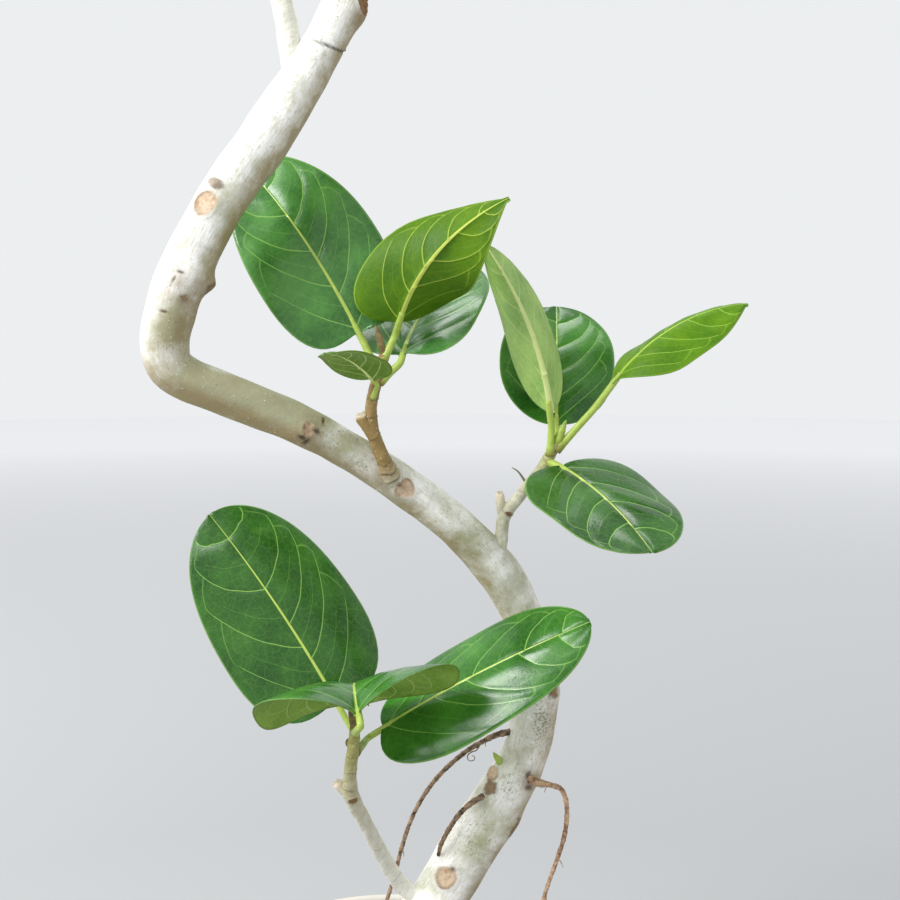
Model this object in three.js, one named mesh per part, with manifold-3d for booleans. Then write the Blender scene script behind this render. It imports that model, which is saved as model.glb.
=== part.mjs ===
// A potted Indian banyan: a pale trunk trained into a bend, short leafy twigs with big oval
// leaves, hanging air roots, and a plain pot of soil.
//
// Millimetres, +Z up. The origin is the middle of the pot's underside and the plant's front
// looks towards -Y, so +X is to the right of a person who stands in front of it.
import * as THREE from "three";
import { mergeVertices } from "three/addons/utils/BufferGeometryUtils.js";
import Module from "manifold-3d";

const wasm = await Module();
wasm.setup();

// Clearance between two pieces that touch on the real plant.
const GAP = 0.3;

// Pot: a plain tapered cylinder with a rounded lip, four drain holes and a groove from each.
const POT_HEIGHT = 200;
const POT_TOP_RADIUS = 118;
const POT_FOOT_RADIUS = 90;
const POT_WALL = 8;
const POT_FLOOR = 12;
const POT_SIDES = 40;
const DRAIN_COUNT = 4;
const DRAIN_RADIUS = 6;
const DRAIN_CIRCLE = 58;
const GROOVE_WIDTH = 8;
const GROOVE_DEPTH = 3;

// Soil: fills the pot to a little under the lip and rises slightly towards the trunk.
const SOIL_LEVEL = 181;
const SOIL_MOUND = 5;
const SOIL_CRUMB = 1.1;
const SOIL_SIDES = 26;

// Leaf proportions that every leaf shares.
const LEAF_SHEET = 0.9;
const LEAF_LOBE = 0.08;
const RIB_DEPTH = 2.0;
const PETIOLE_RADIUS = 2.3;
const PETIOLE_TAPER = [1.25, 1.02, 0.98, 0.95, 0.75];
// How fast a cup fades towards the tip, and the least share of the half width at a blade's ends.
const LEAF_CUP_FADE = 4;
const LEAF_END_SHARE = 0.07;
const LEAF_ROWS = [0, 0.03, 0.1, 0.22, 0.36, 0.52, 0.68, 0.82, 0.93, 0.98, 1];
const LEAF_COLUMNS = [-1, -0.6, -0.06, 0.06, 0.6, 1];

const COLOURS = {
  pot: { color: 0xd9d6cf, roughness: 0.75, metalness: 0 },
  soil: { color: 0x3a2a1e, roughness: 0.95, metalness: 0 },
  bark: { color: 0xcfcab6, roughness: 0.7, metalness: 0 },
  twig: { color: 0xa9a77c, roughness: 0.65, metalness: 0 },
  root: { color: 0x7a5a44, roughness: 0.85, metalness: 0 },
  leaf: { color: 0x2f6d2c, roughness: 0.35, metalness: 0 },
  youngLeaf: { color: 0x6f9f24, roughness: 0.4, metalness: 0 },
  bud: { color: 0x9aa63c, roughness: 0.5, metalness: 0 },
};

// Each stem is a list of [x, y, z, radius] from its foot to its top.
const TRUNK = [
  [-4, 0, 72, 14], [-4, 0, 120, 21], [-3, 0, 176, 23.5], [10, 0, 211, 20.5],
  [34, 3, 246, 19.2], [55, 6, 281, 19.3], [76, 8, 314, 18.5], [93, 9, 344, 16.2],
  [101, 8, 379, 15.4], [102, 4, 416, 14.5], [89, -6, 456, 13.8], [73, -16, 483, 14.2],
  [51, -28, 509, 13.3], [19, -42, 537, 12.4], [-10, -55, 558, 11.8], [-34, -66, 574, 12],
  [-60, -78, 588, 12.2], [-92, -90, 602, 12.8], [-112, -97, 611, 13.4], [-122, -101, 620, 14],
  [-124, -103, 634, 14.4], [-119, -104, 655, 14.8], [-111, -102, 676, 15], [-99, -98, 701, 14.8],
  [-83.5, -93, 727, 15.1], [-64.4, -86, 755, 15], [-45.3, -78, 787, 13.8],
  [-30.9, -72, 812, 12.7], [-21.5, -68, 832, 12.8], [-6, -62, 868, 12.2],
];
const TRUNK_SIDES = 12;
const TRUNK_STEPS = 64;

// Raised bark round scars and old branches: place, facing, radius and height.
const TRUNK_KNOBS = [
  [[-106, -106, 664], [0.75, -0.5, -0.1], 9, 7], [[-45, -76, 578], [-0.1, -0.8, -0.4], 9, 5],
  [[110, 4, 396], [0.9, -0.2, 0.2], 7, 4.5], [[72, -2, 332], [-0.8, -0.4, 0.5], 8, 5],
  [[76, -3, 342], [-0.9, -0.3, 0.3], 6, 4.5], [[84, 1, 302], [0.8, -0.2, -0.4], 7, 5],
  [[44, -12, 272], [-0.1, -1, 0], 8, 4], [[-95, -111, 712], [-0.5, -0.8, 0.2], 8, 3.6],
];

// The leader was sawn off with a slanting cut that faces right and a little forwards.
const TRUNK_CUT_POINT = [-9.5, -68, 838];
const TRUNK_CUT_FACING = [0.93, -0.3, 0.22];
const SAWN_BLOCK = 90;

const TWIGS = {
  twig_lower: {
    route: [[22, -1, 249, 6], [10, -3, 259, 5.6], [-1, -14, 282, 5], [-12, -32, 313, 4.6],
      [-21, -48, 340, 5.2], [-21, -58, 357, 4.2], [-18, -70, 377, 3.8], [-16, -80, 394, 3.3]],
    stubs: [[[-20, -47, 338, 4], [-28, -49, 346, 3.4], [-31, -50, 349, 3.2]]],
  },
  twig_middle: {
    route: [[10, -44, 545, 7.5], [6, -58, 549, 6.6], [2, -65, 560, 4.4], [-3, -70, 573, 4.2],
      [-5, -74, 583, 4], [-5, -76, 593, 3.6], [-3, -77, 604, 3.6], [1, -78, 616, 3.6],
      [3, -78, 625, 3]],
    stubs: [[[-3, -72, 575, 4.2], [-9, -75, 584, 4.1], [-12, -76, 589, 4.3]]],
  },
  twig_right: {
    route: [[70, -17, 487, 5], [76, -22, 499, 4.6], [77, -24, 510, 4.2], [79, -27, 521, 4.4],
      [86, -31, 530, 3.8], [93, -34, 540, 3.6], [101, -36, 550, 3.6], [107, -37, 560, 3.7],
      [111, -38, 568, 3.2]],
    stubs: [[[78, -26, 517, 3.8], [76, -28, 528, 3.2], [75, -28, 535, 2.9]]],
  },
  shoot_left: {
    route: [[-42, -76, 782, 6.6], [-49, -76, 793, 6.9], [-51.5, -75, 804, 7.1], [-58, -71, 836, 6.2],
      [-80, -64, 880, 5.6], [-92, -62, 915, 5], [-98, -62, 948, 4.4], [-99, -63, 974, 3.4]],
    stubs: [],
  },
  shoot_top: {
    route: [[-25, -66, 832, 7], [-28, -56, 852, 6.6], [-22, -44, 878, 6], [-4, -34, 908, 5.6],
      [16, -28, 942, 5], [28, -25, 974, 4.4], [33, -24, 998, 3.4]],
    stubs: [],
  },
};
const TWIG_SIDES = 8;
const TWIG_STEP = 11;

// Each bud is a pointed sheath on a twig's end: foot, tip and widest radius.
const BUDS = {
  bud_lower: { on: "twig_lower", foot: [-16, -80, 393.5], tip: [-19, -82, 411], radius: 2.6 },
  bud_middle: { on: "twig_middle", foot: [3, -78, 624.5], tip: [-2, -77, 644], radius: 2.4 },
  bud_right: { on: "twig_right", foot: [111, -38, 567.5], tip: [117, -41, 583], radius: 3 },
  bud_left_shoot: { on: "shoot_left", foot: [-99, -63, 973.5], tip: [-99, -64, 995], radius: 2.9 },
  bud_top_shoot: { on: "shoot_top", foot: [33, -24, 997.5], tip: [36, -23, 1019], radius: 2.9 },
};
// Girth of a bud along its length, as shares of its radius and its length.
const BUD_GIRTH = [[0, 0.8], [0.25, 1], [0.55, 0.85], [0.85, 0.4], [1, 0.12]];

// Air roots, each with its foot on the trunk.
const ROOTS = {
  air_root_left: [[92, 6, 366, 2.2], [76, 2, 364, 2.2], [68, 6, 359, 1.8], [53, 9, 349, 1.7],
    [34, 13, 330, 1.6], [19, 17, 305, 1.5], [9, 21, 277, 1.5], [3, 24, 252, 1.4],
    [-6, 28, 222, 1.4], [-12, 34, 198, 1.3], [-14, 38, 176, 1.2]],
  air_root_right: [[90, 4, 336, 3.4], [104, -12, 335, 2.6], [110, -18, 336, 1.8],
    [117, -21, 334, 1.7], [121, -23, 325, 1.6], [120, -24, 306, 1.6], [115, -24, 287, 1.5],
    [108, -24, 266, 1.3], [102, -23, 246, 1.2], [95, -22, 218, 1.1], [90, -20, 196, 0.9]],
  air_root_inner: [[74, 2, 324, 2.4], [60, -8, 321, 2], [51, -12, 315, 1.8], [44, -13, 306, 1.7],
    [37, -12.5, 293, 1.6], [35, -6, 282, 1.2]],
};
const ROOT_SIDES = 6;
const ROOT_STEP = 13;

// Leaves that are placed one by one.
// root: where the stalk leaves its twig. base and tip: the ends of the midrib.
// face: the way the glossy side looks. width: full width of the blade.
// arch and sway: how far the midrib bows towards its face, and to its right.
// shape: place of the widest part, then how bluntly the base and the tip taper from it.
// fold and curl: rise of the left and right half at the midrib, and their bend out to the
// margin, in degrees. cup: further rise at the base, which cupFade takes back towards the tip.
// twist: turn from base to tip. stalk: its girth as a share of the usual one.
const LEAVES = {
  leaf_lower_back: {
    on: "twig_lower", root: [-20, -68, 381], base: [-37, 22, 382], tip: [-130, 60, 508],
    face: [-0.2, -0.92, 0.35], width: 110, shape: [0.38, 0.38, 0.47], arch: 4, sway: 4,
    fold: [0, -12], curl: [-2, -36], cup: 0, twist: 0, wave: 1.5, young: false,
  },
  leaf_lower_front: {
    on: "twig_lower", root: [-16, -80, 391], base: [-13, -100, 409], tip: [-16, -16, 390],
    face: [-0.2, 0.05, 0.97], width: 138, shape: [0.36, 0.36, 1.1], arch: 17, sway: 0,
    fold: [-6, -14], curl: [-70, -52], cup: 60, cupFade: 1.3, twist: 0, wave: 1, young: false,
  },
  leaf_lower_right: {
    on: "twig_lower", root: [-17, -65, 373], base: [-1, -32, 380], tip: [132, -50, 455],
    face: [-0.31, -0.58, 0.75], width: 82, shape: [0.34, 0.36, 0.52], arch: 5, sway: 0,
    fold: [-8, 0], curl: [-16, -24], cup: 0, twist: 22, wave: 1.5, young: false,
  },
  leaf_middle_back: {
    on: "twig_middle", root: [0, -78, 613], base: [-13, -72, 639], tip: [-86, -34, 744],
    face: [-0.05, -0.95, 0.25], width: 82, shape: [0.4, 0.36, 0.52], arch: 5, sway: 4,
    fold: [3, 3], curl: [-10, -6], cup: 0, twist: 0, wave: 1.2, young: false,
  },
  leaf_middle_up: {
    on: "twig_middle", root: [2, -79, 620], base: [12, -80, 645], tip: [77, -104, 716],
    face: [-0.1, 0.98, 0.16], width: 68, shape: [0.2, 0.36, 0.95], arch: -6, sway: 11,
    fold: [24, 10], curl: [4, 36], cup: 0, twist: -100, wave: 1, young: true,
  },
  leaf_middle_right: {
    on: "twig_middle", root: [0, -77, 608], base: [14, -74, 626], tip: [54, 14, 684],
    face: [-0.25, -0.8, 0.54], width: 72, shape: [0.45, 0.36, 0.5], arch: 4, sway: -4,
    fold: [4, 4], curl: [-8, -14], cup: 0, twist: 0, wave: 1, young: false,
  },
  leaf_middle_small: {
    on: "twig_middle", root: [-4, -79, 598], base: [-3, -86, 611], tip: [-28, -122, 627],
    face: [0, 0.2, 0.98], width: 40, shape: [0.4, 0.4, 0.68], arch: 4, sway: 0,
    fold: [0, 2], curl: [0, -6], cup: 0, twist: 0, wave: 0.6, young: false, stalk: 0.62,
  },
  leaf_right_folded: {
    on: "twig_right", root: [107, -39, 560], base: [107, -44, 588], tip: [65, -58, 692],
    face: [0, 0.98, 0.2], width: 76, shape: [0.5, 0.72, 0.68], arch: -5, sway: -7,
    fold: [70, 62], curl: [6, 6], cup: -16, twist: 0, wave: 1, young: false,
  },
  leaf_right_back: {
    on: "twig_right", root: [108, -35, 562], base: [112, -26, 579], tip: [117, 42, 656],
    face: [0, -0.74, 0.67], width: 76, shape: [0.5, 0.62, 0.48], arch: 4, sway: 0,
    fold: [6, 6], curl: [-8, -8], cup: 0, twist: 0, wave: 1.2, young: false,
  },
  leaf_right_young: {
    on: "twig_right", root: [111, -38, 563], base: [146, -42, 607], tip: [233, -30, 657],
    face: [-0.42, -0.35, 0.84], width: 56, shape: [0.5, 1.4, 0.95], arch: 12, sway: 0,
    fold: [-12, -30], curl: [-30, -22], cup: 18, twist: 0, wave: 1.6, young: true,
  },
  leaf_right_front: {
    on: "twig_right", root: [106, -38, 556], base: [114, -48, 554], tip: [158, -136, 514],
    face: [0, -0.48, 0.88], width: 82, shape: [0.42, 0.36, 0.46], arch: 3, sway: -3,
    fold: [0, 4], curl: [-20, -6], cup: 0, twist: 0, wave: 1.2, young: false,
  },
};

// The two crowns carry their leaves by rule: each next leaf is a golden angle round the shoot.
const GOLDEN_ANGLE = 137.5;
const CROWN_STALK = [46, 28];
const CROWN_STALK_RISE = 0.35;
const CROWN_LEAF_WIDTH = 0.64;
const CROWNS = {
  shoot_left: { top: 972, count: 5, first: 185, spacing: 14, length: [146, 94], rise: [4, 58] },
  shoot_top: { top: 996, count: 6, first: 338, spacing: 15, length: [150, 98], rise: [2, 56] },
};

const vector = ([x, y, z]) => new THREE.Vector3(x, y, z);
const radians = THREE.MathUtils.degToRad;
const lerp = THREE.MathUtils.lerp;

// A repeatable draw from 0 to 1 for a whole number.
function draw(seed) {
  const s = Math.sin(seed * 127.1 + 311.7) * 43758.5453;
  return s - Math.floor(s);
}

// A closed geometry as a solid, and a solid as a geometry.
function solidOf(geometry) {
  const bare = geometry.clone();
  bare.deleteAttribute("normal");
  bare.deleteAttribute("uv");
  const merged = mergeVertices(bare, 1e-3);
  return new wasm.Manifold(new wasm.Mesh({
    numProp: 3,
    vertProperties: new Float32Array(merged.attributes.position.array),
    triVerts: new Uint32Array(merged.index.array),
  }));
}

function geometryOf(solid) {
  const mesh = solid.getMesh();
  const geometry = new THREE.BufferGeometry();
  geometry.setAttribute("position", new THREE.BufferAttribute(mesh.vertProperties, 3));
  geometry.setIndex(new THREE.BufferAttribute(mesh.triVerts, 1));
  return geometry;
}

// A round stem through the route's points, with flat ends: a cylinder bent along a curve.
function limb(route, sides, steps, swell = 0) {
  const curve = new THREE.CatmullRomCurve3(route.map(vector), false, "centripetal");
  const frames = curve.computeFrenetFrames(steps, false);
  const geometry = new THREE.CylinderGeometry(1, 1, 1, sides, steps);
  const place = geometry.attributes.position;
  for (let i = 0; i < place.count; i++) {
    const step = Math.round((place.getY(i) + 0.5) * steps);
    const along = curve.getUtoTmapping(step / steps) * (route.length - 1);
    const from = Math.min(Math.floor(along), route.length - 2);
    const radius = lerp(route[from][3], route[from + 1][3], along - from) + swell;
    const point = curve.getPointAt(step / steps)
      .addScaledVector(frames.normals[step], place.getX(i) * radius)
      .addScaledVector(frames.binormals[step], -place.getZ(i) * radius);
    place.setXYZ(i, point.x, point.y, point.z);
  }
  return solidOf(geometry);
}

function routeLength(route) {
  let length = 0;
  for (let i = 1; i < route.length; i++) {
    length += vector(route[i]).distanceTo(vector(route[i - 1]));
  }
  return length;
}

// A raised ring of bark round a leaf scar or an old branch: a flat knob on the trunk.
function knob([x, y, z], facing, radius, height) {
  const geometry = new THREE.SphereGeometry(1, 8, 6);
  geometry.scale(radius, height, radius);
  const turn = new THREE.Quaternion().setFromUnitVectors(
    new THREE.Vector3(0, 1, 0),
    vector(facing).normalize(),
  );
  geometry.applyQuaternion(turn);
  geometry.translate(x, y, z);
  return solidOf(geometry);
}

// Share of the full half width at u, from 0 at the base to 1 at the tip.
function leafOutline([widest, baseTaper, tipTaper], u) {
  const share = u < widest
    ? (1 - (1 - u / widest) ** 2.6) ** baseTaper
    : (1 - ((u - widest) / (1 - widest)) ** 2) ** tipTaper;
  return Math.max(LEAF_END_SHARE, share);
}

// The leaf's axis, glossy-side normal and right-hand side.
function leafFrame(leaf) {
  const base = vector(leaf.base);
  const chord = vector(leaf.tip).sub(base);
  const axis = chord.clone().normalize();
  const face = vector(leaf.face);
  face.addScaledVector(axis, -face.dot(axis)).normalize();
  const right = axis.clone().cross(face);
  return { base, chord, face, right };
}

// A point of the blade's middle surface and its normal: u runs from base to tip, v across.
function bladePoint(leaf, u, v) {
  const { base, chord, face, right } = leafFrame(leaf);
  const bow = 4 * u * (1 - u);
  const point = base.clone()
    .addScaledVector(chord, u)
    .addScaledVector(face, leaf.arch * bow)
    .addScaledVector(right, leaf.sway * bow);
  const slope = 4 * (1 - 2 * u);
  const tangent = chord.clone()
    .addScaledVector(face, leaf.arch * slope)
    .addScaledVector(right, leaf.sway * slope)
    .normalize();
  const normal = face.clone().addScaledVector(tangent, -face.dot(tangent)).normalize();
  normal.applyAxisAngle(tangent, radians(leaf.twist) * (u - 0.3));
  const across = tangent.clone().cross(normal);
  const side = v < 0 ? 0 : 1;
  const sign = v < 0 ? -1 : 1;
  const half = leaf.width / 2;
  const share = Math.abs(v) * leafOutline(leaf.shape, u);
  const out = share * half;
  const start = radians(leaf.fold[side] + leaf.cup * (1 - u) ** (leaf.cupFade ?? LEAF_CUP_FADE));
  const bend = radians(leaf.curl[side]) / half;
  const angle = start + bend * out;
  const level = Math.abs(bend) < 1e-6
    ? out * Math.cos(start)
    : (Math.sin(angle) - Math.sin(start)) / bend;
  const lift = Math.abs(bend) < 1e-6
    ? out * Math.sin(start)
    : (Math.cos(start) - Math.cos(angle)) / bend;
  const ripple = leaf.wave * v * v * Math.sin(2 * Math.PI * (1.6 * u + 0.37 * side));
  const back = LEAF_LOBE * chord.length() * share * (1 - u) ** 6;
  point.addScaledVector(across, sign * level)
    .addScaledVector(normal, lift + ripple)
    .addScaledVector(tangent, -back);
  const up = normal.clone().multiplyScalar(Math.cos(angle))
    .addScaledVector(across, -sign * Math.sin(angle));
  return { point, up, tangent };
}

// The blade as one closed sheet, split alike on both faces, with a midrib raised underneath.
function blade(leaf) {
  const rows = LEAF_ROWS.length;
  const columns = LEAF_COLUMNS.length;
  const places = [];
  for (const side of [1, -1]) {
    for (const u of LEAF_ROWS) {
      for (const v of LEAF_COLUMNS) {
        const { point, up } = bladePoint(leaf, u, v);
        const rib = side < 0 && Math.abs(v) < 0.1 ? RIB_DEPTH * (1 - u) ** 0.8 : 0;
        point.addScaledVector(up, side * (LEAF_SHEET / 2 + rib));
        places.push(point.x, point.y, point.z);
      }
    }
  }
  const lower = rows * columns;
  const faces = [];
  const quad = (a, b, c, d) => faces.push(a, b, c, a, c, d);
  for (let i = 0; i < rows - 1; i++) {
    for (let j = 0; j < columns - 1; j++) {
      const a = i * columns + j;
      const [b, c, d] = [a + 1, a + columns + 1, a + columns];
      faces.push(a, b, c, a, c, d);
      faces.push(lower + a, lower + c, lower + b, lower + a, lower + d, lower + c);
    }
  }
  for (let i = 0; i < rows - 1; i++) {
    const a = i * columns;
    const b = a + columns;
    quad(a, b, lower + b, lower + a);
    const c = a + columns - 1;
    const d = c + columns;
    quad(d, c, lower + c, lower + d);
  }
  for (let j = 0; j < columns - 1; j++) {
    const end = (rows - 1) * columns + j;
    quad(j + 1, j, lower + j, lower + j + 1);
    quad(end, end + 1, lower + end + 1, lower + end);
  }
  const geometry = new THREE.BufferGeometry();
  geometry.setAttribute("position", new THREE.Float32BufferAttribute(places, 3));
  geometry.setIndex(faces);
  return solidOf(geometry);
}

// The stalk leaves the twig at root, bends into the midrib's line and ends under the blade.
function petiole(leaf) {
  const root = vector(leaf.root);
  const start = bladePoint(leaf, 0, 0);
  const inside = bladePoint(leaf, 0.07, 0);
  const reach = root.distanceTo(start.point);
  const sink = -LEAF_SHEET / 2 - RIB_DEPTH * 0.35;
  const foot = start.point.clone().addScaledVector(start.up, sink);
  const before = foot.clone().addScaledVector(start.tangent, -reach * 0.35);
  const end = inside.point.clone().addScaledVector(inside.up, sink);
  const middle = root.clone().lerp(before, 0.55);
  const route = [root, middle, before, foot, end].map((p, i) => [
    p.x, p.y, p.z, PETIOLE_RADIUS * PETIOLE_TAPER[i] * (leaf.stalk ?? 1),
  ]);
  return limb(route, 6, Math.max(4, Math.round(reach / 10)));
}

function makeLeaf(leaf, clearances) {
  let solid = blade(leaf).add(petiole(leaf));
  for (const clearance of clearances) solid = solid.subtract(clearance);
  return largest(solid);
}

// Cutting can leave a crumb of the stalk on the far side of its twig, which is dropped.
function largest(solid) {
  return solid.decompose().sort((a, b) => b.volume() - a.volume())[0];
}

// Leaves of a crown, from the lowest and flattest to the highest and steepest.
function crownLeaves(name, crown) {
  const route = TWIGS[name].route;
  const leaves = {};
  for (let i = 0; i < crown.count; i++) {
    const share = i / (crown.count - 1);
    const height = crown.top - crown.spacing * (crown.count - i) + 4;
    const root = pointAtHeight(route, height);
    const heading = radians(crown.first + GOLDEN_ANGLE * i);
    const rise = radians(lerp(crown.rise[0], crown.rise[1], share) + 8 * draw(i + crown.top));
    const out = new THREE.Vector3(Math.cos(heading), Math.sin(heading), 0);
    const up = new THREE.Vector3(0, 0, 1);
    const stalk = out.clone().multiplyScalar(Math.cos(rise + CROWN_STALK_RISE))
      .addScaledVector(up, Math.sin(rise + CROWN_STALK_RISE));
    const axis = out.clone().multiplyScalar(Math.cos(rise)).addScaledVector(up, Math.sin(rise));
    const base = root.clone().addScaledVector(stalk, lerp(...CROWN_STALK, share));
    const length = lerp(...crown.length, share);
    const tip = base.clone().addScaledVector(axis, length);
    const face = up.clone().multiplyScalar(Math.cos(rise)).addScaledVector(out, -Math.sin(rise));
    const lean = (draw(i * 3 + crown.top) - 0.5) * 0.5;
    face.addScaledVector(new THREE.Vector3(-out.y, out.x, 0), lean);
    leaves[`leaf_${name}_${i + 1}`] = {
      on: name, root: root.toArray(), base: base.toArray(), tip: tip.toArray(),
      face: face.toArray(), width: length * CROWN_LEAF_WIDTH, shape: [0.42, 0.38, 0.62],
      arch: lerp(12, 4, share), sway: 0, fold: [8, 8], curl: [-16, -12], cup: 6,
      twist: 8 * (draw(i + 5) - 0.5), wave: 1.5, young: i === crown.count - 1,
    };
  }
  return leaves;
}

function pointAtHeight(route, height) {
  const above = route.findIndex((p) => p[2] > height);
  const [a, b] = [vector(route[above - 1]), vector(route[above])];
  return a.lerp(b, (height - a.z) / (b.z - a.z));
}

function makePot() {
  const lip = POT_HEIGHT;
  const rim = POT_TOP_RADIUS;
  const foot = POT_FOOT_RADIUS;
  const inner = foot + (rim - foot) * (POT_FLOOR / lip) - POT_WALL;
  const profile = [
    [0, 0], [foot - 3, 0], [foot, 3], [rim - 1, lip - 22], [rim, lip - 5], [rim - 1.6, lip - 1.4],
    [rim - 4, lip], [rim - 6.6, lip - 1.4], [rim - POT_WALL, lip - 5],
    [inner + 4, POT_FLOOR + 6], [inner - 4, POT_FLOOR], [0, POT_FLOOR],
  ].map(([r, z]) => new THREE.Vector2(r, z));
  let pot = solidOf(new THREE.LatheGeometry(profile, POT_SIDES).rotateX(Math.PI / 2));
  for (let i = 0; i < DRAIN_COUNT; i++) {
    const turn = (i + 0.5) * (2 * Math.PI / DRAIN_COUNT);
    const hole = new THREE.CylinderGeometry(DRAIN_RADIUS, DRAIN_RADIUS, 3 * POT_FLOOR, 12);
    hole.rotateX(Math.PI / 2).translate(DRAIN_CIRCLE, 0, POT_FLOOR / 2).rotateZ(turn);
    const groove = new THREE.BoxGeometry(foot, GROOVE_WIDTH, 2 * GROOVE_DEPTH);
    groove.translate(DRAIN_CIRCLE + foot / 2, 0, 0).rotateZ(turn);
    pot = pot.subtract(solidOf(hole)).subtract(solidOf(groove));
  }
  return pot;
}

// Radius of the pot's inside at a height.
function potInside(z) {
  const slope = (POT_TOP_RADIUS - POT_FOOT_RADIUS) / POT_HEIGHT;
  return POT_FOOT_RADIUS + slope * z - POT_WALL;
}

function makeSoil(holes) {
  const floor = POT_FLOOR + GAP;
  const low = potInside(floor) - 5;
  const high = potInside(SOIL_LEVEL) - 1.2;
  const rings = [high, 0.86 * high, 0.66 * high, 0.46 * high, 0.3 * high, 0];
  const profile = [
    [0, floor], [low, floor], [potInside(floor + 8) - 1.2, floor + 8],
    ...rings.map((r) => [r, SOIL_LEVEL + SOIL_MOUND * (1 - r / high) ** 1.4]),
  ].map(([r, z]) => new THREE.Vector2(r, z));
  const geometry = new THREE.LatheGeometry(profile, SOIL_SIDES).rotateX(Math.PI / 2);
  const place = geometry.attributes.position;
  for (let i = 0; i < place.count; i++) {
    const [x, y, z] = [place.getX(i), place.getY(i), place.getZ(i)];
    const crumb = Math.sin(x * 0.19 + 1.3) * Math.cos(y * 0.23) + Math.sin((x - y) * 0.37);
    if (z >= SOIL_LEVEL - 0.01) place.setZ(i, z + SOIL_CRUMB * crumb);
  }
  let soil = solidOf(geometry);
  for (const hole of holes) soil = soil.subtract(hole);
  return largest(soil);
}

function makeTrunk(swell) {
  let trunk = limb(TRUNK, TRUNK_SIDES, TRUNK_STEPS, swell);
  for (const [at, facing, radius, height] of TRUNK_KNOBS) {
    trunk = trunk.add(knob(at, facing, radius + swell, height + swell));
  }
  const facing = vector(TRUNK_CUT_FACING).normalize();
  const saw = new THREE.BoxGeometry(SAWN_BLOCK, SAWN_BLOCK, SAWN_BLOCK);
  saw.translate(SAWN_BLOCK / 2, 0, 0);
  saw.applyQuaternion(new THREE.Quaternion().setFromUnitVectors(new THREE.Vector3(1, 0, 0), facing));
  const at = vector(TRUNK_CUT_POINT).addScaledVector(facing, swell);
  saw.translate(at.x, at.y, at.z);
  return trunk.subtract(solidOf(saw));
}

function makeTwig({ route, stubs }, swell) {
  let twig = limb(route, TWIG_SIDES, Math.round(routeLength(route) / TWIG_STEP), swell);
  for (const stub of stubs) twig = twig.add(limb(stub, TWIG_SIDES, 3, swell));
  return twig;
}

function makeBud({ foot, tip, radius }) {
  const route = BUD_GIRTH.map(([share, girth]) => {
    const p = vector(foot).lerp(vector(tip), share);
    return [p.x, p.y, p.z, radius * girth];
  });
  return limb(route, 6, 5);
}

const plant = new THREE.Group();
plant.name = "potted_banyan";

function show(name, solid, look) {
  const mesh = new THREE.Mesh(geometryOf(solid), new THREE.MeshStandardMaterial(COLOURS[look]));
  mesh.name = name;
  plant.add(mesh);
}

const trunk = makeTrunk(0);
const trunkClearance = makeTrunk(GAP);

show("pot", makePot(), "pot");
show("trunk", trunk, "bark");

const rootClearances = [];
for (const [name, route] of Object.entries(ROOTS)) {
  const steps = Math.round(routeLength(route) / ROOT_STEP) + 3;
  show(name, largest(limb(route, ROOT_SIDES, steps).subtract(trunkClearance)), "root");
  rootClearances.push(limb(route, ROOT_SIDES, steps, GAP));
}
show("soil", makeSoil([trunkClearance, ...rootClearances]), "soil");

const twigClearances = {};
for (const [name, twig] of Object.entries(TWIGS)) {
  show(name, largest(makeTwig(twig, 0).subtract(trunkClearance)), "twig");
  twigClearances[name] = makeTwig(twig, GAP);
}

const budClearances = {};
for (const [name, bud] of Object.entries(BUDS)) {
  show(name, largest(makeBud(bud).subtract(twigClearances[bud.on])), "bud");
  budClearances[bud.on] = makeBud({ ...bud, radius: bud.radius + GAP });
}

const leaves = { ...LEAVES };
for (const [name, crown] of Object.entries(CROWNS)) Object.assign(leaves, crownLeaves(name, crown));
for (const [name, leaf] of Object.entries(leaves)) {
  const clear = [twigClearances[leaf.on], budClearances[leaf.on]];
  show(name, makeLeaf(leaf, clear), leaf.young ? "youngLeaf" : "leaf");
}

export default plant;
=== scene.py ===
"""A potted Indian banyan: pale trained trunk, veined oval leaves, air roots, pot and soil.

Shapes are worked out in millimetres, in the frame's axes: +Z is up, the plant's front looks
towards -Y, and the origin is the middle of the pot's underside. They become metres when a
mesh is made.
"""
import math

import bmesh
import bpy
import numpy as np
from bpy.props import FloatProperty, FloatVectorProperty, IntProperty, PointerProperty
from mathutils import Matrix, Vector


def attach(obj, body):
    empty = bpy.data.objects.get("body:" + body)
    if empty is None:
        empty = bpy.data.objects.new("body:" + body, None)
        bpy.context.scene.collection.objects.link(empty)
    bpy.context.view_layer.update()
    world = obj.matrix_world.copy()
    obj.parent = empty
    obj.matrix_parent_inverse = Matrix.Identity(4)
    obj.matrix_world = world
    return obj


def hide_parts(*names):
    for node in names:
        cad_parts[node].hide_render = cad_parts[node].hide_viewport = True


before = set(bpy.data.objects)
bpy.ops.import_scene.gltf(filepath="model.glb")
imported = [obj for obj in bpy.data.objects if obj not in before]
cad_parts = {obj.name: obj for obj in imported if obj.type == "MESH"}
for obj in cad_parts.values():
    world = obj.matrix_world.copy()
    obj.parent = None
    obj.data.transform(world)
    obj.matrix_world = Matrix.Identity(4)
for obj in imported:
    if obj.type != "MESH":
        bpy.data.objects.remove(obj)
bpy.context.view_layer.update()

bl_info = {
    "name": "Potted Banyan",
    "version": (1, 0, 0),
    "blender": (4, 5, 0),
    "location": "View3D > Sidebar > Banyan",
    "description": "Builds a potted Indian banyan around its fixed frame",
    "category": "Add Mesh",
}

MM = 0.001

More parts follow.
